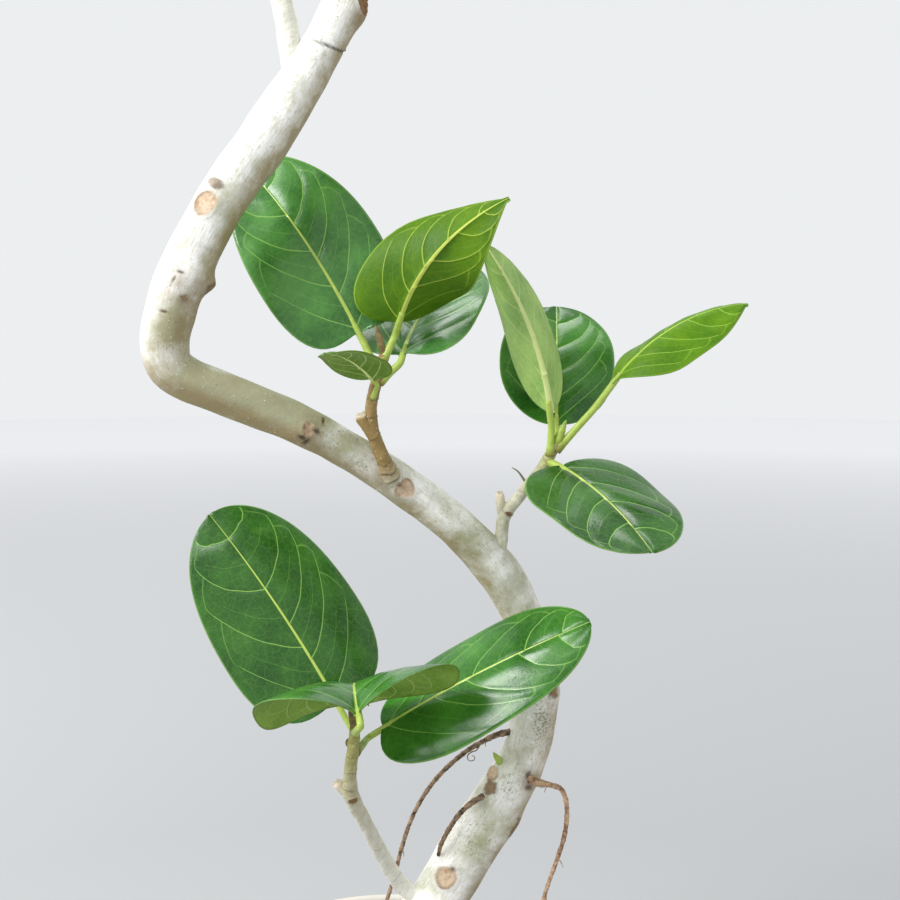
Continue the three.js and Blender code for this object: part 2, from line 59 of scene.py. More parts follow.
# Stems, twigs and roots are rows of x, y, z and radius in mm, from foot to top, as in the part's
# solids.
TRUNK = (
    (-4, 0, 72, 14), (-4, 0, 120, 21), (-3, 0, 176, 23.5), (10, 0, 211, 20.5),
    (34, 3, 246, 19.2), (55, 6, 281, 19.3), (76, 8, 314, 18.5), (93, 9, 344, 16.2),
    (101, 8, 379, 15.4), (102, 4, 416, 14.5), (89, -6, 456, 13.8), (73, -16, 483, 14.2),
    (51, -28, 509, 13.3), (19, -42, 537, 12.4), (-10, -55, 558, 11.8), (-34, -66, 574, 12),
    (-60, -78, 588, 12.2), (-92, -90, 602, 12.8), (-112, -97, 611, 13.4), (-122, -101, 620, 14),
    (-124, -103, 634, 14.4), (-119, -104, 655, 14.8), (-111, -102, 676, 15), (-99, -98, 701, 14.8),
    (-83.5, -93, 727, 15.1), (-64.4, -86, 755, 15), (-45.3, -78, 787, 13.8),
    (-30.9, -72, 812, 12.7), (-21.5, -68, 832, 12.8), (-6, -62, 868, 12.2),
)
TRUNK_CUT_POINT = (-9.5, -68, 838)
TRUNK_CUT_FACING = (0.93, -0.3, 0.22)
TRUNK_SPLIT_FACING = (0.37, -0.16, 0.915)
# The sawn end from its rim inwards: the share of its width that each step keeps, and its rise.
SAWN_STEPS = ((0.93, 0.3), (0.84, -0.6), (0.66, -0.3), (0.42, 0.3), (0.2, -0.35))

# Marks of the bark: kind, place, half length along the stem, half width round it, and height or
# depth. A smudge has its strength there instead. Rings and splits run right round the stem, but
# mark nothing that is further away than the reach.
MARK_REACH = 60
TRUNK_MARKS = (
    ("scar", (-98, -110, 713), 7.6, 6.6, 0.9), ("bud", (-92, -108, 724), 2.7, 5.0, 1.8),
    ("knob", (-111, -117, 665), 12, 12, 1.6), ("crack", (-115, -116, 669), 1.9, 0.8, 0.6),
    ("crack", (-111, -118, 673), 0.8, 1.9, 0.5), ("smudge", (-112, -118, 668), 8, 6, 0.45),
    ("wound", (-109, -117, 658), 1.4, 2.4, 0.5), ("smudge", (-109, -117, 657), 4.5, 6, 0.6),
    ("smudge", (-117, -113, 664), 8, 4, 0.4), ("smudge", (-101, -108, 664), 6, 7, 0.5),
    # The long smudge below the right-hand knob, at 652 mm, is partly painted shade under the knob and
    # partly brown bark.
    ("smudge", (-101, -104, 652), 11, 5, 0.55), ("smudge", (-110, -117, 640), 13, 4, 0.25),
    ("knob", (-99, -101, 668), 6, 8, 4.4), ("wound", (-99, -103, 665), 4.0, 4.0, 0.4),
    ("pit", (-102, -100, 654), 10, 2.4, 0.8), ("crack", (-121, -112, 651), 0.35, 2.0, 0.4),
    ("knob", (-44, -83, 578), 11, 9, 2.4), ("scar", (-42, -84, 580), 4.2, 3.6, 0.8),
    ("pit", (-46.5, -83, 577), 2.8, 1.5, 1.2), ("pit", (-44, -82, 573.5), 1.7, 3.4, 1.3),
    ("pit", (-38.5, -82, 579), 2.8, 1.4, 1.2), ("crack", (-33, -77, 586), 0.7, 2.6, 1.4),
    ("smudge", (-44, -83, 577), 9, 8, 0.5), ("smudge", (4, -61, 550), 9, 7, 0.75),
    ("scar", (14, -57, 541), 6.4, 5.6, 1.0), ("knob", (8, -57, 547), 12, 9, 1.8),
    ("crack", (10, -60, 544), 4.0, 1.0, 0.5), ("knob", (110, 0, 397), 10, 8, 2.6),
    ("wound", (112, -4, 398), 5.6, 4.2, 0.5), ("scar", (73, 1, 338), 4.6, 6.2, 1.1),
    ("wound", (70, -6, 329), 5.4, 4.8, 0.9),
    ("knob", (70, -5, 333), 10, 9, 2.0), ("scar", (40, -13, 269), 7.4, 7.0, 1.2),
    ("pit", (45, -13, 276), 1.5, 1.9, 0.9), ("wound", (86, -2, 300), 7.6, 3.6, 0.8),
    ("pit", (89, -4, 308), 1.1, 1.1, 0.6), ("knob", (84, -2, 302), 10, 7, 2.2),
    ("knob", (101, -3, 334), 8, 7, 1.4), ("pit", (97, -9, 338), 3.2, 1.8, 0.7),
    ("pit", (98, -9, 329), 2.0, 3.0, 0.7), ("smudge", (98, -9, 334), 6, 6, 0.7),
    ("scar", (-14, 22, 200), 6, 5, 1.2),
    ("scar", (118, 14, 430), 5, 4.6, 1.0), ("scar", (-70, -56, 604), 5.6, 5, 1.0),
    ("scar", (-64, -66, 745), 5.4, 4.8, 1.0), ("pit", (60, 24, 300), 2.6, 2.8, 1.6),
    ("scar", (66, 26, 318), 5.6, 5.2, 1.2), ("wound", (30, -30, 531), 3.0, 2.6, 0.5),
    ("split", (-26, -82, 806), 0.7, 0, 1.3), ("ring", (-104, -112, 690), 0.9, 0, 0.16),
    ("ring", (30, -50, 533), 0.9, 0, 0.16), ("ring", (94, -5, 365), 0.9, 0, 0.14),
    ("ring", (60, -12, 292), 0.9, 0, 0.16), ("knob", (-9, -71, 826), 8, 10, 2.4),
    ("smudge", (-12, -76, 824), 5, 6, 0.5), ("knob", (-58, -84, 770), 14, 12, 0.7),
)

# Patches of freckles and of grey-green film, seen from the front: x, z, half width, half height,
# strength. The strong film patches on the sloping stretch, from 560 to 615 mm, are partly painted
# shade on its underside.
FRECKLE_PATCHES = (
    (106, 374, 8, 20, 0.8), (84, 330, 12, 12, 0.4), (62, 292, 15, 20, 0.35),
    (70, 505, 22, 14, 0.3), (-28, 578, 20, 9, 0.35), (-12, 556, 26, 7, 0.35),
    (-110, 632, 16, 12, 0.25), (0, 195, 40, 26, 0.4),
)
FILM_AND_SHADE_PATCHES = (
    (-52, 585, 16, 10, 0.4), (-112, 640, 10, 20, 0.35), (-104, 612, 20, 12, 0.3),
    (60, 508, 20, 20, 0.3), (88, 455, 12, 26, 0.2), (66, 296, 12, 26, 0.3),
    (-84, 705, 10, 20, 0.3), (-70, 596, 44, 20, 0.75), (-120, 640, 8, 16, 0.2),
    (-20, 566, 30, 14, 0.3),
)

# What a twig has unless its own row says otherwise. green is where along it the bark turns green,
# brown how brown it is, pale_stub where its stubs turn to dry wood, pale_foot how far its foot is
# as pale as the trunk; all but brown are shares of the length.
PLAIN_TWIG = dict(stubs=(), green=(0.5, 1.05), brown=0.1, pale_stub=0.35, pale_foot=0.1)
TWIGS = {
    "twig_lower": dict(
        route=((22, -1, 249, 6), (10, -3, 259, 5.6), (-1, -14, 282, 5), (-12, -32, 313, 4.6),
               (-21, -48, 340, 5.2), (-21, -58, 357, 4.2), (-18, -70, 377, 3.8),
               (-16, -80, 394, 3.3)),
        stubs=(((-20, -47, 338, 4), (-28, -49, 346, 3.4), (-31, -50, 349, 3.2)),),
        marks=(("scar", (-19, -54, 337), 2.6, 2.8, 0.7), ("smudge", (-20, -53, 342), 9, 7, 0.5),
               ("ring", (-21, -54, 346), 0.6, 0, 0.5), ("knob", (-21, -50, 341), 5, 5, 0.9),
               ("ring", (-20, -62, 360), 0.5, 0, 0.45),
               ("ring", (-18, -69, 373), 0.5, 0, 0.5), ("ring", (-17, -75, 384), 0.5, 0, 0.4),
               ("ring", (4, -8, 268), 0.6, 0, 0.3), ("ring", (-6, -22, 296), 0.6, 0, 0.3)),
        green=(0.55, 0.95), brown=0.3, pale_foot=0.9),
    "twig_middle": dict(
        route=((10, -44, 545, 7.5), (6, -58, 549, 6.6), (2, -65, 560, 4.4), (-3, -70, 573, 4.2),
               (-5, -74, 583, 4), (-5, -76, 593, 3.6), (-3, -77, 604, 3.6), (1, -78, 616, 3.6),
               (3, -78, 625, 3)),
        stubs=(((-3, -72, 575, 4.2), (-9, -75, 584, 4.1), (-12, -76, 589, 4.3)),),
        marks=(("ring", (7, -54, 548), 0.8, 0, 1.1), ("ring", (6, -58, 549.5), 0.8, 0, 1.2),
               ("ring", (5, -61, 553), 0.7, 0, 0.9), ("ring", (3, -64, 558), 0.6, 0, 0.5),
               ("knob", (2, -70, 562), 4, 4, 0.7),
               ("ring", (-5, -75, 587), 0.5, 0, 0.5), ("ring", (-4, -77, 599), 0.5, 0, 0.5),
               ("ring", (0, -78, 611), 0.5, 0, 0.5)),
        green=(0.7, 1.3), brown=0.95, pale_stub=0.85),
    "twig_right": dict(
        route=((70, -17, 487, 5), (76, -22, 499, 4.6), (77, -24, 510, 4.2), (79, -27, 521, 4.4),
               (86, -31, 530, 3.8), (93, -34, 540, 3.6), (101, -36, 550, 3.6),
               (107, -37, 560, 3.7), (111, -38, 568, 3.2)),
        stubs=(((78, -26, 517, 3.8), (76, -28, 528, 3.2), (75, -28, 535, 2.9)),
               ((93, -34, 540, 1.0), (90, -34.5, 545, 0.8), (86.5, -34, 549.5, 0.55),
                (83.2, -33, 551.6, 0.3))),
        marks=(("ring", (80, -28, 522), 0.6, 0, 0.5), ("ring", (90, -33, 536), 0.5, 0, 0.45),
               ("ring", (98, -35, 547), 0.5, 0, 0.5), ("ring", (105, -37, 557), 0.5, 0, 0.5),
               ("scar", (81, -31, 522), 1.5, 2.4, 0.6), ("crack", (82, -31, 520), 0.5, 2.0, 0.4),
               ("knob", (79, -29, 520), 5, 5, 0.7)),
        green=(0.45, 1.05), brown=0.12),
    "shoot_left": dict(
        route=((-42, -76, 782, 6.6), (-49, -76, 793, 6.9), (-51.5, -75, 804, 7.1),
               (-58, -71, 836, 6.2), (-80, -64, 880, 5.6), (-92, -62, 915, 5),
               (-98, -62, 948, 4.4), (-99, -63, 974, 3.4)),
        marks=tuple(("ring", (-49 - 0.27 * (z - 800), -70, z), 0.6, 0, 0.5)
                    for z in (851, 873, 892, 910, 926, 941, 955, 968)),
        pale_foot=0.75),
    "shoot_top": dict(
        route=((-25, -66, 832, 7), (-28, -56, 852, 6.6), (-22, -44, 878, 6),
               (-4, -34, 908, 5.6), (16, -28, 942, 5), (28, -25, 974, 4.4),
               (33, -24, 998, 3.4)),
        marks=tuple(("ring", (-24 + 0.4 * (z - 870), -40, z), 0.6, 0, 0.5)
                    for z in (856, 880, 901, 920, 937, 951, 966, 981, 991))),
}

# A bud's girth along it: share of its length, and share of its radius.
BUD_GIRTH = ((0, 0.8), (0.25, 1), (0.55, 0.85), (0.85, 0.4), (1, 0.1))
BUDS = {
    "bud_on_trunk": dict(foot=(79, 3, 342), tip=(72.5, -2, 353), radius=2.7, dry=False),
    "bud_lower": dict(foot=(-16, -80, 393.5), tip=(-19, -82, 411), radius=2.6, dry=True),
    "bud_middle": dict(foot=(3, -78, 624.5), tip=(-2, -77, 644), radius=2.4, dry=True),
    "bud_right": dict(foot=(111, -38, 567.5), tip=(117, -41, 583), radius=3, dry=False),
    "bud_left_shoot": dict(foot=(-99, -63, 973.5), tip=(-99, -64, 995), radius=2.9, dry=False),
    "bud_top_shoot": dict(foot=(33, -24, 997.5), tip=(36, -23, 1019), radius=2.9, dry=False),
}

ROOTS = {
    "air_root_left": (
        (92, 6, 366, 2.2), (76, 2, 364, 2.2), (68, 6, 359, 1.8), (53, 9, 349, 1.7),
        (34, 13, 330, 1.6), (19, 17, 305, 1.5), (9, 21, 277, 1.5), (3, 24, 252, 1.4),
        (-6, 28, 222, 1.4), (-12, 34, 198, 1.3), (-14, 38, 176, 1.2)),
    "air_root_right": (
        (90, 4, 336, 3.4), (104, -12, 335, 2.6), (110, -18, 336, 1.8), (117, -21, 334, 1.7),
        (121, -23, 325, 1.6), (120, -24, 306, 1.6), (115, -24, 287, 1.5), (108, -24, 266, 1.3),
        (102, -23, 246, 1.2), (95, -22, 218, 1.1), (90, -20, 196, 0.9)),
    "air_root_inner": (
        (74, 2, 324, 2.4), (60, -8, 321, 2), (51, -12, 315, 1.8), (44, -13, 306, 1.7),
        (37, -12.5, 293, 1.6), (35, -6, 282, 1.2)),
}

# Small side roots: a dried curl on the left root and the frayed fork of the right one.
ROOTLETS = {
    "air_root_left": (
        ((64, 6.5, 356, 0.5), (61, 5, 352, 0.45), (57.5, 4, 351, 0.4), (55, 3.5, 348.5, 0.4),
         (56, 3, 345.5, 0.35), (59, 3, 345.5, 0.35), (60, 3, 348, 0.3), (58, 3, 349, 0.25)),),
    "air_root_right": (
        ((107, -24, 263, 1.0), (108, -25, 254, 0.8), (110, -26, 244, 0.6), (109, -27, 236, 0.4),
         (111, -27, 229, 0.25)),
        ((98, -22.5, 230, 0.8), (102, -24, 220, 0.6), (103, -25, 209, 0.4),
         (106, -26, 200, 0.25))),
}

# Where the side veins leave the midrib, on the left and right half, and how far forward a
# vein that starts there has run at the margin; all are shares of the blade's length.
VEIN_STARTS = ((0.02, 0.23, 0.44, 0.66, 0.85), (0.02, 0.2, 0.39, 0.6, 0.82))
VEIN_KNOTS = (0, 0.02, 0.25, 0.45, 0.62, 0.85, 1)
VEIN_AHEAD = (0, 0.46, 0.50, 0.42, 0.32, 0.12, 0)
# How steeply a side vein leaves the midrib: the part of its forward way that runs evenly.
VEIN_LEAVE = 0.35
VEIN_WOBBLE = 0.0024
# Near the margin the veins' ends arch forward: where on the half width, and how far inwards.
LOOP_PLACE = 0.87
LOOP_DEPTH = 0.13

# What a leaf has unless its own row says otherwise. The words mean the same as in the part's
# solids: face is the way the glossy side looks, shape the widest place and the two tapers, arch
# and sway the bow in mm, fold, curl, cup and twist are in degrees, fold and curl for the left and
# right half. wave is the margin's wave in mm, stalk the stalk's girth, and its lightness setting the
# green's lightness, which is partly painted light and shade: raised for a leaf that has to look lit
# or glossy, lowered for one that has to look shaded.
PLAIN_LEAF = dict(arch=4, sway=0, cup=0, cup_fade=4, twist=0, wave=1, young=False, stalk=1,
                  lightness_and_painted_light=1.0, veins=VEIN_STARTS)
# The lightness given in some rows below is partly painted light and shade, set leaf by leaf to how lit
# each leaf has to look.
LEAVES = {
    "leaf_lower_back": dict(
        root=(-20, -68, 381), base=(-37, 22, 382), tip=(-130, 60, 508), face=(-0.2, -0.92, 0.35),
        width=110, shape=(0.38, 0.38, 0.47), sway=4, fold=(0, -12), curl=(-2, -36), wave=1.5,
        lightness_and_painted_light=0.68, veins=((0.02, 0.26, 0.58, 0.86), (0.02, 0.2, 0.38, 0.58, 0.86))),
    "leaf_lower_front": dict(
        root=(-16, -80, 391), base=(-13, -100, 409), tip=(-16, -16, 390), face=(-0.2, 0.05, 0.97),
        width=138, shape=(0.36, 0.36, 1.1), arch=17, fold=(-6, -14), curl=(-70, -52), cup=60,
        cup_fade=1.3, lightness_and_painted_light=1.1),
    "leaf_lower_right": dict(
        root=(-17, -65, 373), base=(-1, -32, 380), tip=(132, -53, 455), face=(-0.31, -0.58, 0.75),
        width=82, shape=(0.34, 0.36, 0.52), arch=5, fold=(-8, 0), curl=(-16, -24), twist=22,
        wave=1.5, veins=((0.02, 0.18, 0.46, 0.7, 0.88), (0.02, 0.26, 0.42, 0.68, 0.86))),
    "leaf_middle_back": dict(
        root=(0, -78, 613), base=(-13, -72, 639), tip=(-86, -34, 744), face=(-0.05, -0.95, 0.25),
        width=82, shape=(0.4, 0.36, 0.52), arch=5, sway=4, fold=(3, 3), curl=(-10, -6), wave=1.2,
        lightness_and_painted_light=1.3),
    "leaf_middle_up": dict(
        root=(2, -79, 620), base=(12, -80, 645), tip=(77, -104, 716), face=(-0.1, 0.98, 0.16),
        width=68, shape=(0.2, 0.36, 0.95), arch=-6, sway=11, fold=(24, 10), curl=(4, 36),
        twist=-100, young=True, lightness_and_painted_light=0.66),
    "leaf_middle_right": dict(
        root=(0, -77, 608), base=(14, -74, 626), tip=(54, 14, 684), face=(-0.25, -0.8, 0.54),
        width=72, shape=(0.45, 0.36, 0.5), sway=-4, fold=(4, 4), curl=(-8, -14), lightness_and_painted_light=1.5),
    "leaf_middle_small": dict(
        root=(-4, -79, 598), base=(-3, -86, 611), tip=(-28, -122, 627), face=(0, 0.2, 0.98),
        width=40, shape=(0.4, 0.4, 0.68), fold=(0, 2), curl=(0, -6), wave=0.6, stalk=0.62,
        lightness_and_painted_light=0.8, veins=((0.02, 0.3, 0.6, 0.85), (0.02, 0.28, 0.58, 0.85))),
    "leaf_right_folded": dict(
        root=(107, -39, 560), base=(107, -44, 588), tip=(65, -58, 692), face=(0, 0.98, 0.2),
        width=76, shape=(0.5, 0.72, 0.68), arch=-5, sway=-7, fold=(70, 62), curl=(6, 6), cup=-16,
        lightness_and_painted_light=1.5),
    "leaf_right_back": dict(
        root=(108, -35, 562), base=(112, -26, 579), tip=(117, 42, 656), face=(0, -0.74, 0.67),
        width=76, shape=(0.5, 0.62, 0.48), fold=(6, 6), curl=(-8, -8), wave=1.2),
    "leaf_right_young": dict(
        root=(111, -38, 563), base=(146, -42, 607), tip=(233, -30, 657), face=(-0.42, -0.35, 0.84),
        width=56, shape=(0.5, 1.4, 0.95), arch=12, fold=(-12, -30), curl=(-30, -22), cup=18,
        wave=1.6, young=True, lightness_and_painted_light=0.8),
    "leaf_right_front": dict(
        root=(106, -38, 556), base=(114, -48, 554), tip=(158, -136, 514), face=(0, -0.48, 0.88),
        width=82, shape=(0.42, 0.36, 0.46), arch=3, sway=-3, fold=(0, 4), curl=(-20, -6), wave=1.2,
        lightness_and_painted_light=0.68, veins=((0.02, 0.25, 0.5, 0.78), (0.02, 0.2, 0.46, 0.72))),
}
# How far the blade reaches back beside the stalk, as a share of its length, and how far the
# midrib stands out underneath in mm.
LOBE = 0.08
RIB_DEPTH = 2.0

# A leaf's stalk: its radius in mm, its girth from foot to end as shares of that, and how far
# along the blade it ends.
PETIOLE_RADIUS = 2.3
PETIOLE_GIRTH = (1.25, 1.02, 0.98, 0.95, 0.75)
PETIOLE_END = 0.07

# The crown's leaves stand round each shoot by rule. Pairs are for its lowest and its highest
# leaf; the stalk rises that much more steeply than the blade, in radians.
CROWNS = {
    "shoot_left": dict(top=972, count=5, first=185, spacing=14, length=(146, 94), rise=(4, 58)),
    "shoot_top": dict(top=996, count=6, first=338, spacing=15, length=(150, 98), rise=(2, 56)),
}
GOLDEN_ANGLE = 137.5
CROWN_STALK = (46, 28)
CROWN_ARCH = (12, 4)
CROWN_STALK_RISE = 0.35
CROWN_LEAF_WIDTH = 0.64

# The blade's grid: the widest and the narrowest step between two rows and the rows beside each
# side vein, as shares of the length, the first columns beside the midrib in mm, and the number of
# columns from there outwards.
ROW_STEP = 0.019
ROW_GAP = 0.0016
ROWS_BESIDE_VEIN = (-0.016, -0.007, 0.007, 0.016)
COLUMNS_BESIDE_RIB = (0.5, 1.1, 2.0, 3.2)
COLUMNS_TO_MARGIN = 14

# Gloss of the leaves' skins: lowest and highest roughness, specular level and relief in mm.
WAXY_SKIN = (0.17, 0.28, 0.5, 0.014)
MATT_SKIN = (0.5, 0.62, 0.3, 0.05)
TENDER_SKIN = (0.4, 0.5, 0.26, 0.014)
TENDER_UNDERSIDE = (0.5, 0.62, 0.3, 0.04)

# How fine each round stem is: faces round it, and distance between its rings in mm.
TWIG_FINENESS = (30, 0.7)
BUD_FINENESS = (24, 0.5)
STALK_FINENESS = (14, 1.6)
ROOT_FINENESS = (18, 0.7)
ROOTLET_FINENESS = (7, 0.7)

# Pot and soil. Bark chips lie on the soil, clear of the trunk's axis by the distance given.
POT_HEIGHT = 200
POT_TOP_RADIUS = 118
POT_FOOT_RADIUS = 90
POT_WALL = 8
POT_FLOOR = 12
POT_CORE = 40
DRAIN_COUNT = 4
DRAIN_RADIUS = 6
DRAIN_CIRCLE = 58
GROOVE_WIDTH = 8
GROOVE_DEPTH = 3
SOIL_LEVEL = 181
SOIL_MOUND = 5
SOIL_CRUMB = 1.1
SOIL_GAP = 0.4
SOIL_SIDES = 150
SOIL_RINGS = 62
CHIP_SIDES = 8
TRUNK_AT_SOIL = (-2, 0)
TRUNK_CLEARANCE = 26

# The square lights, in metres: name, place, width, share of the large light's power, and the
# point that it is aimed at.
LIGHTS = (
    ("window_light", (-1.93, -1.45, 2.25), 1.1, 1, (0, 0, 0.5)),
    ("top_light", (-0.24, 0.6, 2.9), 0.95, 0.28, (0, 0, 0.6)),
    ("left_light", (-2.6, 0.2, 1.3), 1.8, 0.28, (0, 0, 0.6)),
)
# The floor's radius and the camera's sensor, in mm.
FLOOR_RADIUS = 9000
FLOOR_SIDES = 96
SENSOR_WIDTH = 36


def linear(hex_colour):
    """An sRGB hex colour as linear red, green, blue and alpha."""
    channels = [int(hex_colour[i:i + 2], 16) / 255 for i in (1, 3, 5)]
    return (*[c / 12.92 if c <= 0.04045 else ((c + 0.055) / 1.055) ** 2.4 for c in channels], 1)


def draw(seed):
    """A repeatable draw from 0 to 1 for a number."""
    s = math.sin(seed * 127.1 + 311.7) * 43758.5453
    return s - math.floor(s)


def unit(v):
    """Vectors scaled to the length 1."""
    return v / np.linalg.norm(v, axis=-1, keepdims=True)


def dot(a, b):
    """Dot products of two rows of vectors."""
    return np.sum(a * b, axis=-1, keepdims=True)


def between(ends, share):
    """The value at a share of the way from the first end to the second."""
    return ends[0] + (ends[1] - ends[0]) * share


def full_turn(count):
    """Even steps once round, in radians."""
    return np.linspace(0, 2 * math.pi, count, endpoint=False)


def fade(low, high, value):
    """0 below low, 1 above high, smooth between; high may be the lower one."""
    share = np.clip((value - low) / (high - low), 0, 1)
    return share * share * (3 - 2 * share)


# Mesh building.


def build_piece(name, vertices, faces, materials, nodes=(), slot=None, maps=None, kinds=None):
    """A smooth mesh in metres from places in mm, set on the frame in the CAD nodes' stead."""
    mesh = bpy.data.meshes.new(name)
    mesh.from_pydata((np.asarray(vertices, float) * MM).tolist(), [], faces)
    corner = np.empty(len(mesh.loops), dtype=np.int32)
    mesh.loops.foreach_get("vertex_index", corner)
    for map_name, values in (maps or {}).items():
        layer = mesh.uv_layers.new(name=map_name)
        layer.uv.foreach_set("vector", np.asarray(values, np.float32)[corner].ravel())
    for material in materials:
        mesh.materials.append(material)
    if kinds is not None:
        mesh.polygons.foreach_set("material_index", kinds)
    mesh.shade_smooth()
    mesh.validate()
    mesh.update()
    piece = bpy.data.objects.new(name, mesh)
    bpy.context.scene.collection.objects.link(piece)
    if slot:
        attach(piece, "root")
        if nodes:
            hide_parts(*nodes)
    return piece


def along_route(route, step):
    """Even steps along the centripetal curve through a route: places, radii, lengths."""
    route = np.array(route, float)
    points, radii = route[:, :3], route[:, 3]
    ends = np.vstack([2 * points[0] - points[1], points, 2 * points[-1] - points[-2]])
    knots = np.sqrt(np.linalg.norm(np.diff(ends, axis=0), axis=1))
    places, stations = [], []
    for i in range(len(points) - 1):
        p0, p1, p2, p3 = ends[i:i + 4]
        d0, d1, d2 = knots[i:i + 3]
        leave = ((p1 - p0) / d0 - (p2 - p0) / (d0 + d1) + (p2 - p1) / d1) * d1
        arrive = ((p2 - p1) / d1 - (p3 - p1) / (d1 + d2) + (p3 - p2) / d2) * d1
        t = np.linspace(0, 1, 24, endpoint=False)[:, None]
        places.append(p1 + leave * t + (3 * (p2 - p1) - 2 * leave - arrive) * t ** 2
                      + (2 * (p1 - p2) + leave + arrive) * t ** 3)
        stations.append(i + t[:, 0])
    places = np.vstack([*places, points[-1:]])
    stations = np.append(np.concatenate(stations), len(points) - 1)
    length = np.append(0, np.cumsum(np.linalg.norm(np.diff(places, axis=0), axis=1)))
    even = np.linspace(0, length[-1], max(4, round(length[-1] / step)) + 1)
    where = np.interp(even, length, stations)
    centre = np.stack([np.interp(even, length, places[:, k]) for k in range(3)], axis=1)
    return centre, np.interp(where, np.arange(len(radii)), radii), even


def rings_along(route, sides, step):
    """Rings of a round stem: centres, radii, lengths, outward directions, stem directions."""
    centre, radius, length = along_route(route, step)
    ahead = unit(np.gradient(centre, axis=0))
    side = unit(np.cross(ahead[0], (0.3, 1, 0.2)))
    frames = []
    for direction in ahead:
        side = unit(side - direction * np.dot(side, direction))
        frames.append((side, np.cross(direction, side)))
    frames = np.array(frames)
    turn = full_turn(sides)[None, :, None]
    outward = frames[:, None, 0] * np.cos(turn) + frames[:, None, 1] * np.sin(turn)
    return centre, radius, length, outward, ahead


def tube_faces(rings, sides, start=0):
    """Faces of a closed tube: its rings, then one vertex in the middle of each end."""
    first = start + np.arange((rings - 1) * sides)
    beside = first + np.where((first - start) % sides == sides - 1, 1 - sides, 1)
    faces = np.stack([first, beside, beside + sides, first + sides], axis=1).tolist()
    foot, top = start + rings * sides, start + rings * sides + 1
    last = start + (rings - 1) * sides
    for i in range(sides):
        j = (i + 1) % sides
        faces += [(foot, start + j, start + i), (top, last + i, last + j)]
    return faces


def closed_tube(points, start=0):
    """Vertices and faces of a closed tube from its rings of points."""
    rings, sides = points.shape[:2]
    ends = [points[0].mean(axis=0), points[-1].mean(axis=0)]
    return np.vstack([points.reshape(-1, 3), ends]), tube_faces(rings, sides, start)


def with_ends(values):
    """One value for each ring point, and the end rings' means for the two end vertices."""
    return np.concatenate([values.ravel(), [values[0].mean(), values[-1].mean()]])


def map_pair(first, second):
    """Two values of every vertex of a closed tube, as one map holds them."""
    return np.stack([with_ends(first), with_ends(second)], axis=1)


def patch_strength(patches, x, z):
    """How strong a tint is at places of the bark, from its patches."""
    return sum(much * np.exp(-((z - height) / tall) ** 2 - ((x - across) / wide) ** 2)
               for across, height, wide, tall, much in patches)


def mark_bark(points, outward, ahead, marks):
    """Raises and sinks the bark at its marks; returns points and how scarred, dark and brown.

    A knob swells, a scar has a raised rim round a sunken face, a wound, pit or crack is sunk,
    and a smudge only tints.
    """
    flat = points.reshape(-1, 3)
    out = unit(outward.reshape(-1, 3))
    along = np.repeat(ahead, points.shape[1], axis=0)
    lift, scar, dark, brown = (np.zeros(len(flat)) for _ in range(4))
    for kind, place, half_long, half_wide, height in marks:
        nearest = int(np.argmin(np.linalg.norm(flat - place, axis=1)))
        away = flat - flat[nearest]
        run = away @ along[nearest]
        if kind in ("ring", "split"):
            # A split runs straight and opens to the right; a ring wanders up and down.
            near = np.linalg.norm(away, axis=1) < MARK_REACH
            wander = 0.7 * np.sin(3 * np.arctan2(out[:, 0], out[:, 1]) + place[2])
            if kind == "split":
                run = away @ np.array(TRUNK_SPLIT_FACING)
                wander = 0.15 * wander
                near = near * fade(-0.8, 0.4, out[:, 0])
            line = np.exp(-((run + wander) / half_long) ** 2) * near
            lift += height * (0.6 * np.exp(-((run + wander - 1.6 * half_long) / half_long) ** 2)
                              - 0.8 * np.exp(-((run + wander) / half_long) ** 2)) * near
            dark = np.maximum(dark, line * min(0.9, 0.75 * height))
            continue
        # How far a place is from the mark: round the stem in mm, and as a ratio that is 1 at the
        # mark's edge; torn is the same ratio for a ragged edge.
        aside = away @ np.cross(along[nearest], out[nearest])
        faced = fade(0.1, 0.5, out @ out[nearest])
        spin = np.arctan2(aside, run)
        ratio = np.hypot(run / half_long, aside / half_wide) * (1 + 0.05 * np.sin(3 * spin + place[0]))
        torn = ratio * (1 + 0.08 * np.sin(5 * spin + place[2]) + 0.05 * np.sin(9 * spin + place[0]))
        if kind == "knob":
            lift += height * np.exp(-ratio ** 2) * faced
        elif kind == "scar":
            lift += height * (0.8 * np.exp(-((ratio - 1.1) / 0.24) ** 2)
                              - 0.5 * fade(0.95, 0.5, ratio)) * faced
            scar = np.maximum(scar, fade(1.06, 0.92, ratio) * faced)
            rim = np.exp(-((ratio - 0.95) / 0.13) ** 2) * (0.6 + 0.4 * np.sin(spin + place[2]))
            brown = np.maximum(brown, 0.9 * rim * faced)
        elif kind == "wound":
            lift -= height * fade(1.0, 0.6, ratio) * faced
            brown = np.maximum(brown, 0.92 * fade(1.1, 0.85, torn) * faced)
            dark = np.maximum(dark, 0.25 * np.exp(-((ratio - 0.95) / 0.2) ** 2) * faced)
        elif kind == "bud":
            lift += height * fade(1.1, 0.3, ratio) * faced
            brown = np.maximum(brown, 0.75 * fade(1.15, 0.95, ratio) * faced)
            dark = np.maximum(dark, 0.5 * np.exp(-((ratio - 1.1) / 0.16) ** 2) * faced)
        elif kind == "smudge":
            brown = np.maximum(brown, height * np.exp(-torn ** 2) * faced)
        else:
            lift -= height * fade(1.1, 0.4, torn) * faced
            dark = np.maximum(dark, 0.8 * fade(1.3, 0.3, torn) * faced)
            brown = np.maximum(brown, 0.6 * np.exp(-(torn / 1.8) ** 2) * faced)
    moved = flat + out * lift[:, None]
    shape = points.shape[:2]
    return moved.reshape(points.shape), *(m.reshape(shape) for m in (scar, dark, brown))


# Leaves.


